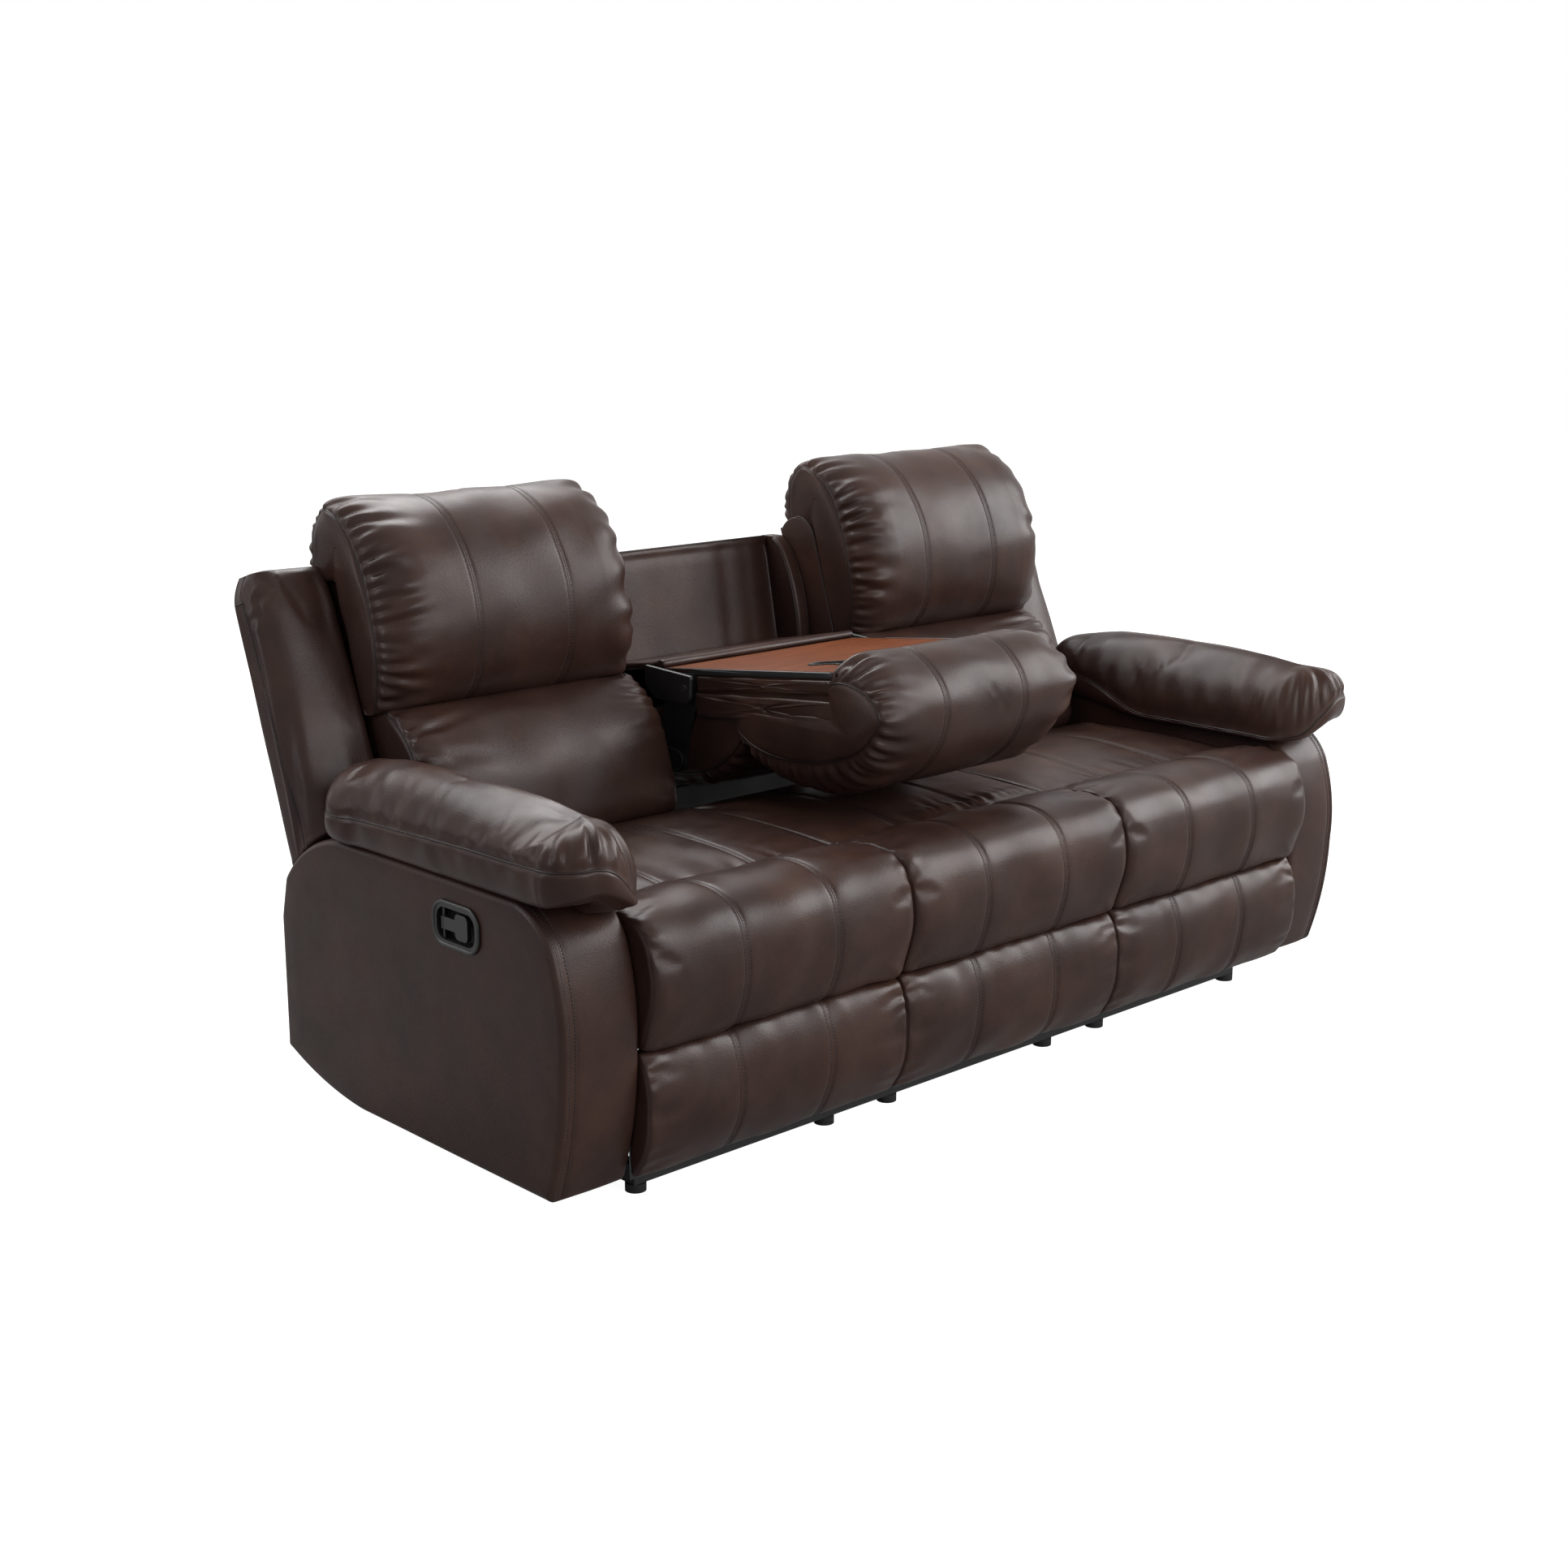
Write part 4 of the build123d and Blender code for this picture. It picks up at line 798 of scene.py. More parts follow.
def make_back(side, seams, shapes, names, body):
    """Covers of one head cushion and lumbar cushion."""
    seed = {1: 51, -1: 67, 0: 83}[side]
    for kind, (coarse, places, around, (low, high)) in shapes.items():
        lines = seams if kind == "head" else ()
        rows = finer(places, low, high, lines)
        seen = (40.0, min(1000.0, around - 120)) if kind == "head" else (30.0, around - 120)
        columns = columns_at(around, seen)

        def relief(across, along):
            low_off, high_off = across - low, high - across
            press = sum([sewn(across - seam, 0.4) for seam in lines], np.zeros_like(across))
            press += groove(low_off, 2.2, 3.0) + groove(high_off, 2.2, 3.0)
            press += slack_waves(across, along, 1.3, seed)
            if kind == "head":
                full, spare = (high_off, low_off) if side < 0 else (low_off, high_off)
                for off, extra, pitch, reach, depth in ((full, 1, 30, 92, 5.2), (spare, 2, 62, 84, 4.6)):
                    press += gathers(along, off, (60, around - 330), pitch, reach, depth, seed + extra,
                                     (0.14, 0.28))
            else:
                for off, extra in ((low_off, 3), (high_off, 4)):
                    press += gathers(along, off, (40, 200), 32, 140, 4.6, seed + extra, (0.15, 0.3))
                    press += gathers(along, off, (230, 420), 60, 60, 1.6, seed + extra + 2)
            return press

        name = names[kind]
        made, grid, facing = cover(name, coarse, places, around, rows, columns, relief, side < 0, (low, high))
        dress(made, body, [name], fill=0.8)
        for row in [seam + off for seam in lines for off in (-stitch_off, stitch_off)]:
            thread_runs[body].append(run_of(grid, facing, rows, row, columns, seen))
        for edge in (low, high):
            piping_runs[body].append(run_of(grid, facing, rows, edge, columns, seen, 0.0))


for side, word in both_sides:
    make_back(side, end_seams, end_back,
              {"head": f"head_cushion_{word}", "lumbar": f"lumbar_cushion_{word}"}, f"back_{word}")
make_back(0, middle_seams, door, {"head": "console_head_cushion", "lumbar": "console_lumbar_cushion"}, "console")

# %% [markdown]
# The wing beside each head pillow is a tall padded strip. Its front is rounded, and a corded seam
# joins it to the flat leather on the outer side of the back. Its rows run up the back, so that the
# corded seam is simply one of its columns.

# %% Sections of the wing


def wing_front(up):
    """Front of the wing behind the pivot's line, at a height up the back."""
    heights = (-30, 14, 200, 330, 385, 412, 432, 445, 452)
    return float(np.interp(up, heights, (74, 76, 92, 106, 113, 120, 129, 138, 148)))


def wing_rear(up):
    return 166 + (up + 30) / 460 * 23


def wing_loop(up):
    """Section of the wing, with the corded seam and the rear corner always at the same points."""
    front, rear = wing_front(up), wing_rear(up)
    outer = 990 - 22 * max(0.0, (up - 395) / 57) ** 2
    seam = min(front + 44, rear - 22)
    thick = seam - front
    path = [(836, rear), (836, front + min(16, thick)), ((840, front + 3), (858, front)), (925, front - 2),
            ((966, front + min(8, 0.2 * thick)), (outer - 2, front + min(34, thick * 0.8))), (outer, seam),
            (outer, rear)]
    points = softened(path, 3.5, fine_points)
    marks = [int(np.argmin(np.linalg.norm(points - mark, axis=1))) for mark in ((outer, seam), (outer, rear))]
    marks = [0] + marks + [fine_points]
    at = np.concatenate([np.linspace(a, b, n, endpoint=False) for a, b, n in zip(marks, marks[1:], (30, 12, 8))])
    return spline(points, at, wrap=True)


wing_low, wing_corner, wing_high = -30, 404, 452      # its foot, where its top rounds off, and its top
wing_keys = np.r_[np.linspace(wing_low, wing_corner, 40), 412, 420, 428, 436, 442, 447, 450, wing_high]
wing_rows, wing_places = closed_grid(np.array([wing_loop(up) for up in wing_keys]), wing_keys, (925, 157), 0.5)
wing_step = 9.0                      # nominal millimetres between two points round the wing
wing_seam, wing_around = 30 * wing_step, 50 * wing_step
print("wing", wing_rows.shape[:2])

# %% Covers of the wings


def place_wing(up, x, behind):
    """The wing's points in the room; its foot is cut aslant, to clear the arm."""
    low = np.clip((200 - up) / 230, 0, 1)
    up = up - low * (behind - 76) * 0.5 + low * 22
    return leaning(end_lean)(x, up, behind)


wing_coarse = in_room(place_wing, wing_rows, wing_places)
wing_held = (wing_rows[..., 1] > 140) | (wing_rows[..., 0] < 840)
wing_coarse = swell(wing_coarse, wing_held.astype(float), 2.0, 0.006)
wing_ends = wing_places[(wing_places[:, 0] < wing_low) | (wing_places[:, 0] > wing_high)][:, 0]
rows = np.unique(np.r_[np.arange(wing_low, 396, 6.0), np.arange(396, wing_high + 0.1, 2.5), wing_ends])
columns = np.unique(np.r_[np.arange(0, 340, 4.5), np.arange(340, wing_around, 9.0), wing_seam])
for side, word in both_sides:

    def wing_relief(across, along):
        press = slack_waves(across, along, 0.9, 91 + side, size=240) + groove(along - wing_seam, 2.4, 3.5)
        for start, stop, depth, width in (((392, 268), (438, 236), 3.0, 9.0), ((384, 266), (420, 206), 3.4, 9.0),
                                          ((362, 268), (388, 224), 3.0, 8.0), ((40, 262), (260, 232), 3.0, 14.0)):
            press += crease(across, along, start, stop, depth, width)
        return press

    made, grid, facing = cover(f"back_wing_{word}", wing_coarse, wing_places[:, 0], wing_around, rows, columns,
                               wing_relief, side < 0)
    dress(made, f"back_{word}", [f"back_wing_{word}"], fill=0.85)
    corner, at = int(np.argmin(np.abs(rows - wing_corner))), int(np.argmin(np.abs(columns - wing_seam)))
    proud = grid + facing * 0.0004
    up_seam = proud[(rows > wing_low) & (rows <= wing_corner), at]
    to_rear = proud[corner][(columns > wing_seam) & (columns < 375)]
    piping_runs[f"back_{word}"].append(np.vstack([up_seam, to_rear]))

# %% [markdown]
# The arm is a plywood box under thin wadding and leather. Its outer edges are rounded by about a
# finger's width, its front panel bellies slightly, and the two are joined by a double-stitched seam
# round the front. The plastic bezel of the release handle sits in a hole in the outer side.

# %% Outline of the arm, and boards under wadding

arm_outline = [(-408, 57), ((-436, 157), (-449, 282)), ((-445, 387), (-426, 456)), ((-393, 497), (-337, 522)),
               (151, 522), ((255, 486), (323, 424)), (341, 352), (341, 115), ((235, 77), (110, 57))]
handle_at = (-189.5, 448.5)                 # middle of the release handle's bezel: y and z
sharp = math.radians(38)                    # edges that turn by more than this stay crisp


def capsule(low, high, centre, size, radius, steps=10):
    """A rounded rectangular bar along X."""
    half_y, half_z = size[0] / 2 - radius, size[1] / 2 - radius
    ring = []
    for quarter, (sy, sz) in enumerate(((1, 1), (-1, 1), (-1, -1), (1, -1))):
        for k in range(steps + 1):
            angle = math.pi / 2 * (quarter + k / steps)
            ring.append((centre[0] + sy * half_y + radius * math.cos(angle),
                         centre[1] + sz * half_z + radius * math.sin(angle)))
    n = len(ring)
    points = np.array([(x, y, z) for x in (low, high) for y, z in ring]) / 1000
    faces = [list(range(n)), list(range(2 * n - 1, n - 1, -1))]
    faces += [[i, (i + 1) % n, n + (i + 1) % n, n + i] for i in range(n)]
    return points, faces


def board(path, low, high, edge, soft, spacing, belly=0.0, ring=30.0):
    """Rows of a padded board from its outline: rounded edges of one radius, and a little belly."""
    around = evenly(drawn(path), fine_points)[1]
    loop = softened(path, soft, int(around / spacing))
    along = np.roll(loop, -1, axis=0) - np.roll(loop, 1, axis=0)
    out = np.stack([along[:, 1], -along[:, 0]], axis=1) / np.linalg.norm(along, axis=1, keepdims=True)
    if np.sum(out * (loop - loop.mean(axis=0))) < 0:
        out = -out
    turn = edge * (1 - np.cos(np.radians(np.arange(0, 91, 18))))
    flat = np.linspace(low + edge, high - edge, max(2, int((high - low) / 12)))
    keys = np.unique(np.round(np.r_[low + turn, flat, high - turn], 3))
    loops = [loop + out * (belly * math.sin(math.pi * (key - low) / (high - low)) - belly
                           - drawn_in(key, low, high, edge, edge)) for key in keys]
    rows, places = closed_grid(np.array(loops), keys, loop.mean(axis=0), 0.2, ring)
    return rows, places, keys, around


print("arm outline", len(arm_outline))

# %% Arms


def make_arm(side, word):
    """One arm from its side outline, with the hole for the release handle."""
    low, high, edge = 849.2, 999.8, 12.0
    rows, places, keys, around = board(arm_outline, low, high, edge, 3.0, 13.0, 1.5)
    grid = in_room(upright, rows, places)
    near_seam = high - np.array([14, 16, 17.5, 19, 20.5, 22, 24, 26, 30, 34])
    fine = np.unique(np.round(np.r_[places[:, 0], keys, near_seam], 3))
    columns = np.arange(0, around, 6.0)

    def relief(across, along):
        front = np.clip((660 - along) / 40, 0, 1)
        press = sewn(high - 20 - across, 1.6) * front
        press += slack_waves(across, along, 0.8, 101 + side, size=260) * np.clip((high - across) / 20, 0.15, 1)
        return press

    made, fine_grid, facing = cover(f"arm_body_{word}", grid, places[:, 0], around, fine, columns, relief,
                                    side < 0)
    points, faces = capsule(979.0, 1010.0, handle_at, (106.0, 58.0), 22.5)
    cutter = make_mesh("bezel_hole", points * (side, 1, 1), faces)
    hole = made.modifiers.new("hole", "BOOLEAN")
    hole.operation, hole.object, hole.solver = "DIFFERENCE", cutter, "EXACT"
    made_plain(made)
    made.data.set_sharp_from_angle(angle=sharp)
    bpy.data.objects.remove(cutter)
    dress(made, "base", [f"arm_body_{word}"])
    for row in (high - 14, high - 26):
        thread_runs["base"].append(run_of(fine_grid, facing, fine, row, columns, (0.0, 640.0)))


for side, word in both_sides:
    make_arm(side, word)

# %% [markdown]
# The arm pad is a long pillow: a full upper panel gathered onto a narrower band that goes round it.
# It is made from rings, as a hill is drawn with contour lines. The upper rings climb from the corded
# seam to the crown, the lower ones turn under to the arm, so the seam is one ring and the gathers
# simply run across it.

# %% Plan and heights of the arm pad

pad_low, pad_high, pad_front, pad_rear = 830.5, 1011.5, -481.5, 205.0
crown_rows = 15                             # rows of the pad from its crown to its seam


def pad_plan(count):
    """The pad's outline seen from above, with its start at the rear."""
    low, high, front, rear = pad_low, pad_high, pad_front, pad_rear
    path = [(920, rear), ((850, rear - 4), (838, rear - 46)), (low, rear - 130), (low, front + 130),
            ((low + 15, front + 40), (low + 66, front + 6)), ((930, front - 0.4), (high - 50, front + 6)),
            ((high - 12, front + 26), (high, front + 80)), (high, rear - 120),
            ((high - 8, rear - 30), (964, rear - 2))]
    return softened(path, 8.0, count)


def crown_at(y):
    """Height of the pad's crown, from its front to its rear."""
    return np.interp(y, (-482, -440, -404, -313, -200, -60, 60, 140, 185, 205),
                     (628, 638, 645, 653, 655, 654, 652, 641, 622, 600))


def inner_share(x, y):
    """0 to 1: the pad's inner side, where its upper panel hangs down beside the seat."""
    share = np.clip((955 - x) / 105, 0, 1) * np.clip((150 - y) / 230, 0, 1)
    return share * share * (3 - 2 * share)


def under_at(x, y):
    """Height of the pad's underside."""
    return np.interp(y, (-482, -455, -420, -380, 206), (546, 534, 526, 523.5, 522.8)) - 26 * inner_share(x, y)


def seam_at(x, y):
    """Height of the corded seam: half way up outside, close to the underside inside."""
    outer = np.interp(y, (-482, -420, -340, -240, -100, 60, 205), (588, 586, 583, 583, 579, 573, 566))
    return outer + (under_at(x, y) + 11 - outer) * inner_share(x, y)


def pad_folds(x, y):
    """Long soft folds of the pad's upper panel, slanting back from the outer seam."""
    rng = np.random.default_rng(151)
    total = np.zeros_like(x)
    for at in np.arange(-440, 190, 78.0):
        at, slant = at + rng.uniform(-26, 26), rng.uniform(0.15, 0.7)
        width, deep, reach = rng.uniform(8, 15), rng.uniform(0.8, 2.5), rng.uniform(900, 950)
        off = (y - at - slant * (1011 - x)) / width
        fade = np.clip((x - reach) / 60, 0, 1)
        total -= deep * fade * fold_section(off, 0.6)
    return total


print("pad is", pad_high - pad_low, "wide and", pad_rear - pad_front, "long")

# %% Rings of the arm pad


def make_pad_grid(count=150):
    """Rings from the crown over the seam to the underside, with how far on each one is."""
    plan = pad_plan(count)
    spine = np.stack([np.full(count, 921.0), np.clip(plan[:, 1], pad_front + 84, pad_rear - 80)], axis=1)
    end_on = np.abs(plan[:, 1] - spine[:, 1]) / np.linalg.norm(plan - spine, axis=1)
    seam, under, crown = seam_at(*plan.T), under_at(*plan.T), crown_at(spine[:, 1])
    rows, keys = [], []
    for share in np.sin(np.linspace(0.05, math.pi / 2, crown_rows)):
        flat = spine + (plan - spine) * share
        rise = (1 - share ** (2.4 + 1.4 * end_on)) ** 0.6
        fold = pad_folds(flat[:, 0], flat[:, 1]) * np.clip((share - 0.15) * 3, 0, 1) * (1 - share ** 4)
        rows.append(np.column_stack([flat, seam + (crown - seam) * rise + fold]))
        keys.append((share - 1) * 120)
    for k in np.linspace(0, 1, 9)[1:]:
        angle = k * math.pi / 2
        inset = 15 * (1 - math.cos(angle)) - 3.0 * math.sin(2 * angle)
        flat = spine + (plan - spine) * (1 - inset / 90.0)
        rows.append(np.column_stack([flat, seam + (under - seam) * math.sin(angle) ** 1.15]))
        keys.append(k * 62)
    for share in (0.72, 0.6, 0.45, 0.3, 0.15, 0.05):
        flat = spine + (plan - spine) * share
        rows.append(np.column_stack([flat, under_at(plan[:, 0], flat[:, 1])]))
        keys.append(62 + (0.81 - share) * 110)
    return np.array(rows) / 1000, np.array(keys), evenly(plan, 512)[1]


pad_grid, pad_keys, pad_around = make_pad_grid()
held = np.zeros(pad_grid.shape[:2])
held[crown_rows:] = 1.0
held[crown_rows - 1] = 0.9
pad_grid = swell(pad_grid, held, 2.5, 0.012, -0.004)
print("pad rings", pad_grid.shape[:2])

# %% Covers of the arm pads

rows = np.unique(np.r_[np.linspace(pad_keys[0], -30, 16), np.arange(-30, 40, 3.5), 0.0, 1.5, -1.5, -3, 3,
                       np.arange(40, pad_keys[-1], 8)])
columns = np.arange(0, pad_around, 5.0)
seam_row = int(np.argmin(np.abs(rows)))
for side, word in both_sides:

    def pad_relief(across, along):
        all_round, broad = (40, pad_around - 40), (0.16, 0.34)
        front = np.exp(-(((along - pad_around * 0.5) / 150) ** 2))
        press = groove(across, 2.6, 3.0)
        press += 1.2 * front * gathers(along, -across, (pad_around * 0.36, pad_around * 0.64), 27, 62, 5.0,
                                       111 + side, (0.16, 0.3))
        press += (1 - 0.8 * front) * gathers(along, -across, all_round, 62, 62, 2.6, 121 + side, broad)
        press += gathers(along, across, all_round, 58, 60, 1.7, 131 + side, broad)
        press += groove(along - (pad_around - 690), 1.6, 2.6) * (across > 0)
        return press * np.clip((across + 112) / 60, 0, 1)

    made, grid, facing = cover(f"arm_pad_{word}", pad_grid, pad_keys, pad_around, rows, columns, pad_relief,
                               side < 0, spine=True)
    dress(made, "base", [f"arm_pad_{word}"], fill=0.7)
    piping_runs["base"].append(np.vstack([grid[seam_row], grid[seam_row][:1]]))

# %% [markdown]
# Between the two end backs stands a fixed leather-covered panel, with a piped cheek at each side, and
# a flap that bridges from its foot to the console's tray. These are thin boards under wadding, so
# they are made like the arm: one outline, rounded edges, and a few slow folds pressed in. The sides
# of the end backs are closed in the same way.

# %% Covered boards


def no_relief(across, along):
    return np.zeros_like(across)


def covered_board(name, path, low, high, edge, place, body, nodes=(), relief=no_relief, soft=2.0, spacing=8.0,
                  step=5.0, mirrored=False, piped=(), **finish):
    """A thin board: its cover, its finish and body, and a cord along the rows in piped."""
    rows, places, keys, around = board(path, low, high, edge, soft, spacing, ring=12.0)
    grid = in_room(place, rows, places)
    fine = np.unique(np.round(np.r_[places[:, 0], keys, np.arange(low + edge, high - edge, step)], 3))
    columns = np.arange(0, around, step)
    made, fine_grid, facing = cover(name, grid, places[:, 0], around, fine, columns, relief, mirrored)
    dress(made, body, nodes, **finish)
    for row, start, stop in piped:
        piping_runs[body].append(run_of(fine_grid, facing, fine, row, columns, (start, stop)))
    return made


print("board helpers ready")

# %% Centre back, cheeks and flap


def on_panel(z, off=0, up=0):
    """A point off millimetres behind the leaning face of the fixed panel, up millimetres higher than z."""
    return (430 + (z - 674) / 5.449 + off, z + up)


def panel_relief(across, along):
    press = groove(along - 478, 1.2, 2.0) + groove(along - 478, 1.5, 12.0)
    for at, height, width in ((-170, 0.8, 45), (-80, -0.6, 30), (30, -0.8, 24), (84, 0.9, 24), (124, -1.6, 17),
                              (164, 1.2, 20), (200, 1.4, 17), (240, -5.0, 18), (-242, -3.0, 14)):
        press += height * np.exp(-(((across - at - (along - 300) * 0.03) / width) ** 2))
    return press * np.clip((494 - along) / 12, 0, 1)


def on_flap(run, rise):
    """A point of the flap's section, in its rest place over the tray."""
    turn = math.radians(169.69)
    return (420 + math.cos(turn) * run + math.sin(turn) * rise, 674 + math.sin(turn) * run - math.cos(turn) * rise)


def flap_relief(across, along):
    return slack_waves(across, along, 0.5, 171, size=170) + 0.5 * np.cos(across / 31 + 1)


panel_foot, panel_top = 400, 886
covered_board("centre_panel_cover", [on_panel(panel_foot), on_panel(panel_top), on_panel(panel_top, 16),
                                     on_panel(panel_foot, 16)],
              -256, 256, 4.0, upright, "base", ["centre_back_panel"], panel_relief)
piping_runs["base"].append(np.array([(x, on_panel(panel_top, 3)[0], 885.5) for x in range(-254, 255, 8)]) / 1000)
cheek = [on_panel(662, -12), on_panel(662, -56), (on_panel(780, -62), on_panel(848, -46)),
         (on_panel(874, -30, 2), on_panel(panel_top, -12, 1)), on_panel(panel_top, 4, 1), on_panel(662, 4)]
back_side = [(-36, 90), (390, 92), ((424, 100), (444, 128)), ((444, 160), (428, 186)), (-34, 178)]
back_facing = [(-36, 88), (430, 88), (430, 180), (-36, 172)]
for side, word in both_sides:
    left = {"mirrored": side < 0}
    covered_board(f"cheek_cover_{word}", cheek, 256.5, 287.5, 7.0, upright, "base", ["centre_cheeks"],
                  piped=((257.2, 44, 290), (286.8, 44, 290)), **left)
    covered_board(f"back_side_cover_{word}", back_side, 288.5, 301, 4.5, leaning(end_lean), f"back_{word}",
                  piped=((290.5, 60, 500),), **left)
    covered_board(f"back_facing_{word}", back_facing, 820.6, 826, 2.5, leaning(end_lean), f"back_{word}", **left)
covered_board("console_flap_cover", [on_flap(0, 6.1), on_flap(180, 6.2), (on_flap(194, 6.8), on_flap(204, 7.8)),
                                     (on_flap(217, 6.4), on_flap(220.5, 1.0)),
                                     (on_flap(218, -5.0), on_flap(212, -6.3)), on_flap(0, -6.2),
                                     (on_flap(-6.4, 0.2), on_flap(0, 6.1))],
              -249, 249, 4.0, upright, "gap_flap", ["console_flap"], flap_relief, soft=1.2, spacing=5.0)

# %% [markdown]
# The console's sides are leather over the same kind of board, one piece beside the tray and a fuller
# one below it. A black moulded strip edges the tray.

# %% Console sides and tray edge


def rail_relief(across, along):
    return slack_waves(across, along, 0.8, 181, size=90) + crease(across, along, (250, 60), (256, 130), 2.0, 5.0)


def side_relief(across, along):
    return slack_waves(across, along, 0.9, 191, size=80)


down = leaning(door_lean)
moulded = {"finish": black_plastic, "slot": "black_plastic"}
tray_trim = [(62, 160), (430, 160), (430, 171.5), (62, 171.5)]
console_rail = [(74, 129), (430, 131), (430, 158), (74, 158)]
console_side = [(66, 84), (430, 78), (446, 96), (438, 122), (66, 128)]
for side, word in both_sides:
    left = {"mirrored": side < 0}
    covered_board(f"tray_trim_{word}", tray_trim, 249.6, 252.6, 1.4, down, "console", soft=1.0, spacing=4.0,
                  **left, **moulded)
    covered_board(f"console_rail_cover_{word}", console_rail, 249.0, 254.4, 5.0, down, "console",
                  relief=rail_relief, **left)
    covered_board(f"console_side_cover_{word}", console_side, 247.0, 256.0, 6.0, down, "console",
                  relief=side_relief, soft=3.0, piped=((251.5, 0, 320),), **left)

# %% [markdown]
# Dark cloth sheets stand under the backs, behind the gap beside the console and behind each footrest
# pad. They are painted shade: these gaps are only in shadow, and the bright floor would show through.
# Each is pulled flat, so it needs no simulation, only a thin closed mesh. Each of the console's hinges
# hides in a black moulded box with one bolt.

# %% Painted-shade sheets and hinge boxes


def shade_sheet(name, near, far, bottom, top, low, high, body, spacing=12.0, step=40.0, mirrored=False):
    """A flat sheet of dark cloth in a gap: painted shade, where the gap is only in shadow."""
    path = [(near, bottom), (near, top), (far, top), (far, bottom)]
    cloth = covered_board(name, path, low, high, 0.9, upright, body, soft=0.5, spacing=spacing, step=step,
                          mirrored=mirrored, finish=cloth_and_shade_sheet)


# painted shade: a dark sheet across the back of the space under the seats
shade_sheet("dust_cloth", 322, 324, 60, 318, -846, 846, "base")
hinge_box = [(206, 652), (134, 652), ((112, 656), (106, 672)), (104, 706), (236, 711), (236, 676)]
for side, word in both_sides:
    # painted shade: a dark sheet behind each footrest pad, reaching down into the shadow under it
    shade_sheet(f"footrest_backing_{word}", -415.6, -413.4, 56, 267, 284.0, 848.6, f"footrest_{word}",
                    mirrored=side < 0)
    covered_board(f"hinge_box_{word}", hinge_box, 259.6, 269.0, 3.0, upright, "console", soft=1.5, spacing=6.0,
                  mirrored=side < 0, **moulded)
    points, faces = capsule(268.5, 272.0, (122.0, 682.0), (13.0, 13.0), 6.4, 5)
    bolt = make_mesh(f"hinge_bolt_{word}", points * (side, 1, 1), faces)
    bolt.data.set_sharp_from_angle(angle=sharp)
    dress(bolt, "console", (), slot="black_steel", finish=black_steel)
# painted shade: a dark sheet in the gap beside the console, where the cavity is in shadow
shade_sheet("gap_cloth", 329, 331, 300, 474, -236, 236, "base", 6.0, 12.0)

# %% [markdown]
# Stitches repeat thousands of times, so Geometry Nodes lay them: a line is resampled at the stitch
# length and a small rounded bead of thread is set on each point along the line. The cords in the
# piped seams are tubes swept along their lines by a second tree, which also makes the raised rim of
# each handle's bezel. Both end in plain meshes, one for each body.

# %% Lines, and how a tree begins and ends


def lines_mesh(name, runs):
    """A mesh of loose lines that a node tree can turn into curves."""
    points, edges = [], []
    for run in runs:
        start = len(points)
        points.extend(run.tolist())
        edges.extend((start + k, start + k + 1) for k in range(len(run) - 1))
    mesh = bpy.data.meshes.new(name)
    mesh.from_pydata(points, edges, [])
    return placed(name, mesh)


def begun(name, sizes):
    """The start of a geometry tree: its named inputs, up to the curve that its lines become."""
    tree = bpy.data.node_groups.new(name, "GeometryNodeTree")
    tree.interface.new_socket(name="Lines", in_out="INPUT", socket_type="NodeSocketGeometry")
    for size, value in sizes.items():
        tree.interface.new_socket(name=size, in_out="INPUT", socket_type="NodeSocketFloat").default_value = value
    tree.interface.new_socket(name="Finish", in_out="INPUT", socket_type="NodeSocketMaterial")
    tree.interface.new_socket(name="Result", in_out="OUTPUT", socket_type="NodeSocketGeometry")
    given = add(tree, "NodeGroupInput").outputs
    return tree, given, add(tree, "GeometryNodeMeshToCurve", links={"Mesh": given["Lines"]})


def ended(tree, given, shape):
    """The end of a tree: real meshes in the given finish."""
    real = add(tree, "GeometryNodeRealizeInstances", links={"Geometry": shape})
    done = add(tree, "GeometryNodeSetMaterial", links={"Geometry": real, "Material": given["Finish"]})
    add(tree, "NodeGroupOutput", links={"Result": done})


print("tree helpers ready")

# %% Trees for stitches and cords

stitch_tree, given, curve = begun("sewn_stitches", {"Pitch": 0.0058, "Length": 0.0044, "Thickness": 0.0013})
spaced = add(stitch_tree, "GeometryNodeResampleCurve", links={"Curve": curve, "Length": given["Pitch"]},
             mode="LENGTH")
bead = add(stitch_tree, "GeometryNodeMeshUVSphere", {"Segments": 6, "Rings": 4, "Radius": 0.5})
size = add(stitch_tree, "ShaderNodeCombineXYZ",
           links={"X": given["Thickness"], "Y": given["Thickness"], "Z": given["Length"]})
bead = add(stitch_tree, "GeometryNodeTransform", links={"Geometry": bead, "Scale": size})
tangent = add(stitch_tree, "GeometryNodeInputTangent")
aim = add(stitch_tree, "FunctionNodeAlignRotationToVector", links={"Vector": tangent}, axis="Z")
laid = add(stitch_tree, "GeometryNodeInstanceOnPoints", links={"Points": spaced, "Instance": bead, "Rotation": aim})
ended(stitch_tree, given, laid)

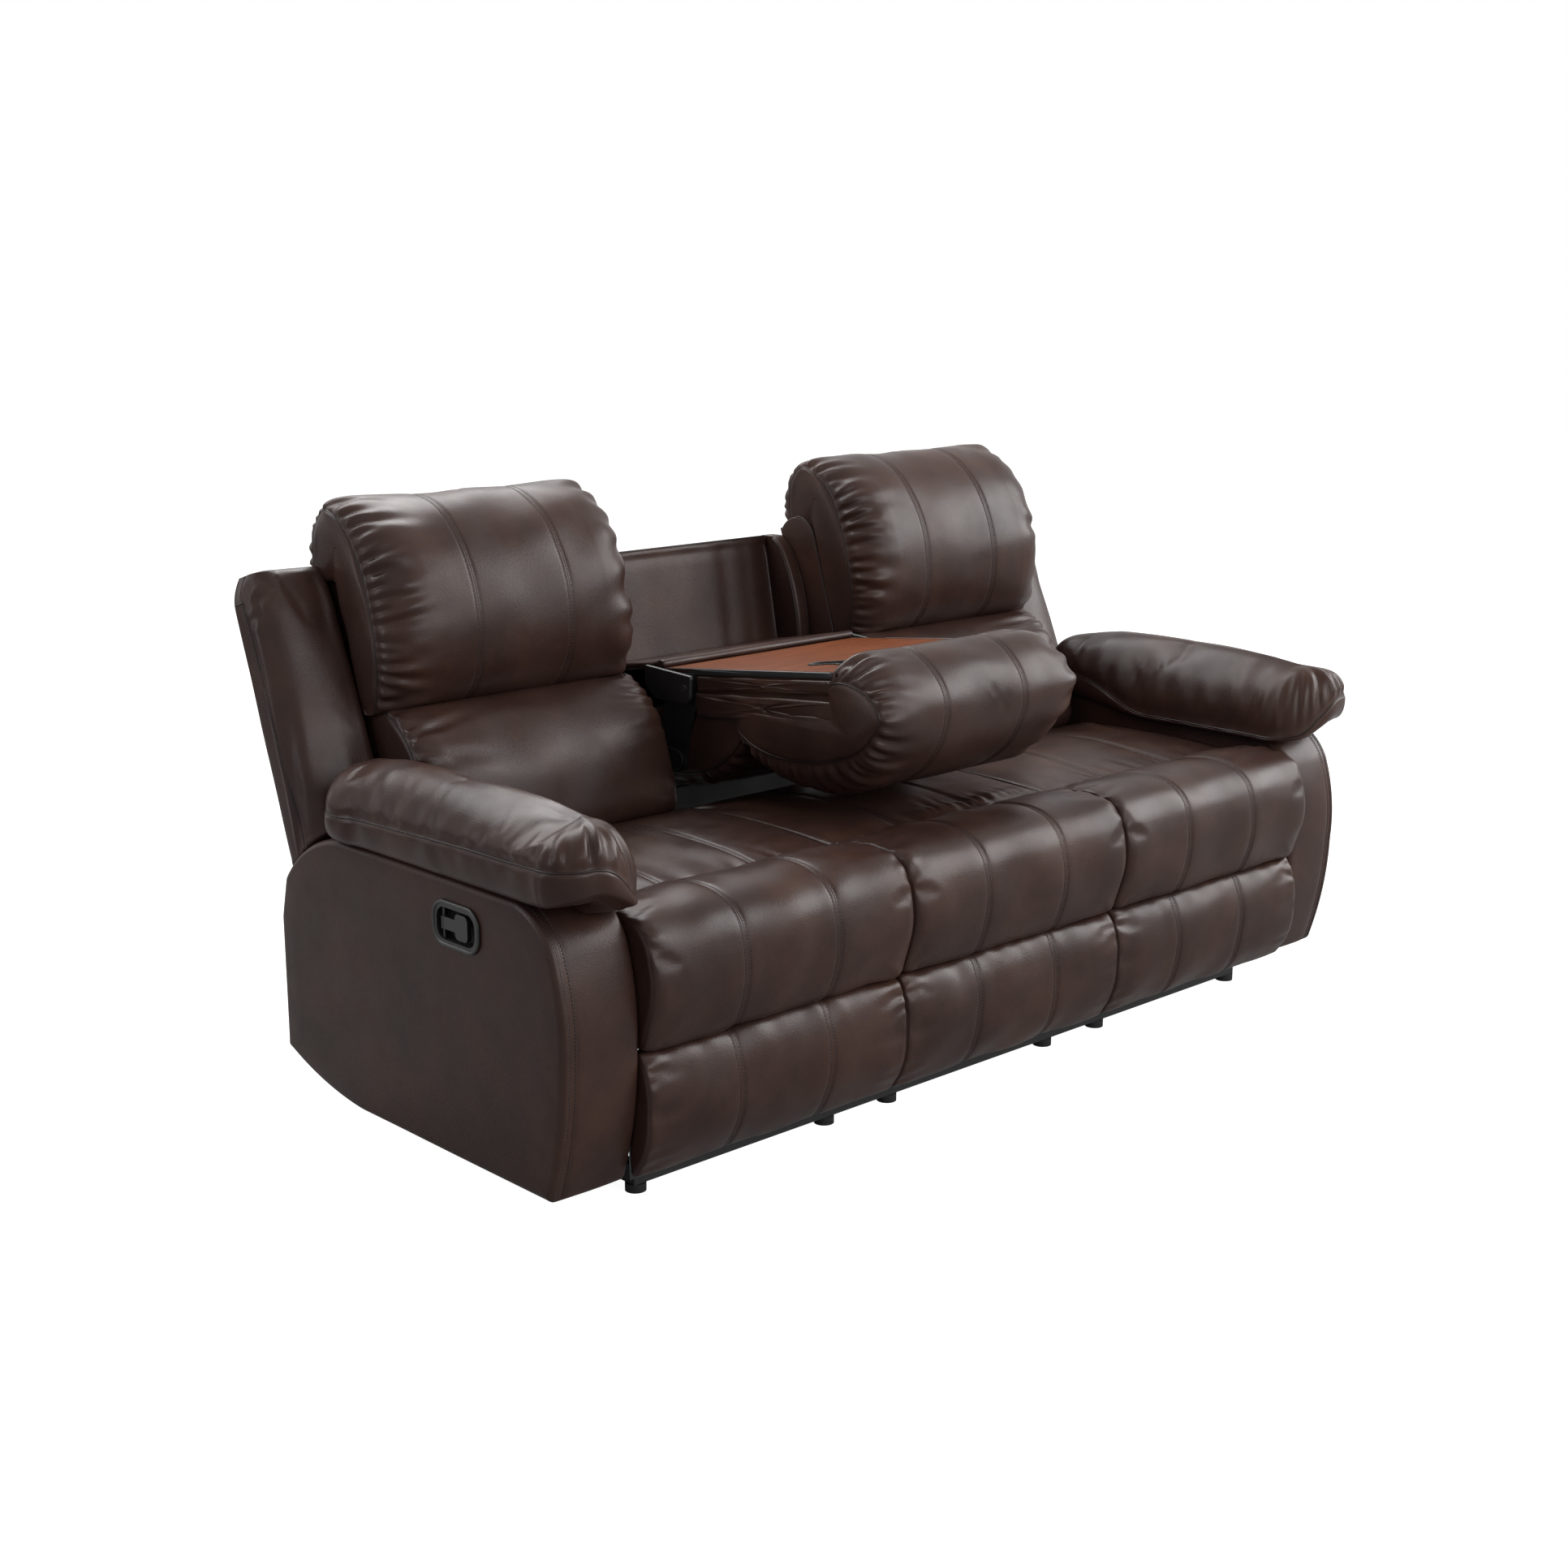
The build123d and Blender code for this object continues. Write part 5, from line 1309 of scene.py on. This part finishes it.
cord_tree, given, curve = begun("swept_cord", {"Radius": 0.0018})
ring = add(cord_tree, "GeometryNodeCurvePrimitiveCircle", {"Resolution": 8}, {"Radius": given["Radius"]})
tube = add(cord_tree, "GeometryNodeCurveToMesh", {"Fill Caps": True}, {"Curve": curve, "Profile Curve": ring})
ended(cord_tree, given, add(cord_tree, "GeometryNodeSetShadeSmooth", links={"Geometry": tube}))
print("trees", len(stitch_tree.nodes), "and", len(cord_tree.nodes), "nodes")

# %% Threads, cords and bezel rims


def grown(name, runs, tree, body, finish, slot="leather", **sizes):
    """What a tree makes of the lines, as a plain mesh that rides on one body."""
    made = lines_mesh(name, runs)
    modifier = made.modifiers.new("grow", "NODES")
    modifier.node_group = tree
    sockets = {item.name: item.identifier for item in tree.interface.items_tree if item.in_out == "INPUT"}
    modifier[sockets["Finish"]] = finish
    for size, value in sizes.items():
        modifier[sockets[size]] = value
    made_plain(made)
    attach(made, body)
    print(name, len(made.data.polygons), "faces")


for body, runs in thread_runs.items():
    grown(f"stitches_{body}", runs, stitch_tree, body, thread)
for body, runs in piping_runs.items():
    grown(f"piping_{body}", runs, cord_tree, body, piping_leather)
rim = capsule(0, 1002, handle_at, (117.0, 69.0), 27)[0]
rim = rim[len(rim) // 2:]
rims = [np.vstack([rim, rim[:1]]) * (side, 1, 1) for side, word in both_sides]
grown("bezel_rims", rims, cord_tree, "base", black_plastic, "black_plastic", Radius=0.0034)

# %% [markdown]
# What the CAD already has right keeps its shape and gets its finish: each node comes with the name of
# its material, and each name has its finish here. A few nodes look different from their material:
# posts wrapped in leather, boards covered with cloth, and painted hinge parts.

# %% Finishes of the CAD nodes

finish_of = {"leather": brown_leather, "tray_wood": tray_laminate, "black_plastic": black_plastic,
             "black_steel": black_steel, "spring_steel": spring_steel, "frame_wood": pine}
other_finish = {"centre_back_posts": brown_leather, "centre_rear_rail": cloth_and_shade_sheet,
                "console_hinge_arms": black_plastic, "console_hinge_brackets": black_plastic,
                "footrest_frame_left": cloth_and_shade_sheet, "footrest_frame_right": cloth_and_shade_sheet}
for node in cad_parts.values():
    for slot in node.material_slots:
        word = next((key for key in finish_of if slot.material and slot.material.name.startswith(key)), None)
        finish = other_finish.get(node.name, finish_of.get(word))
        if finish:
            slot.material = finish
print(len(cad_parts), "nodes, of which", len(other_finish), "have a finish of their own")
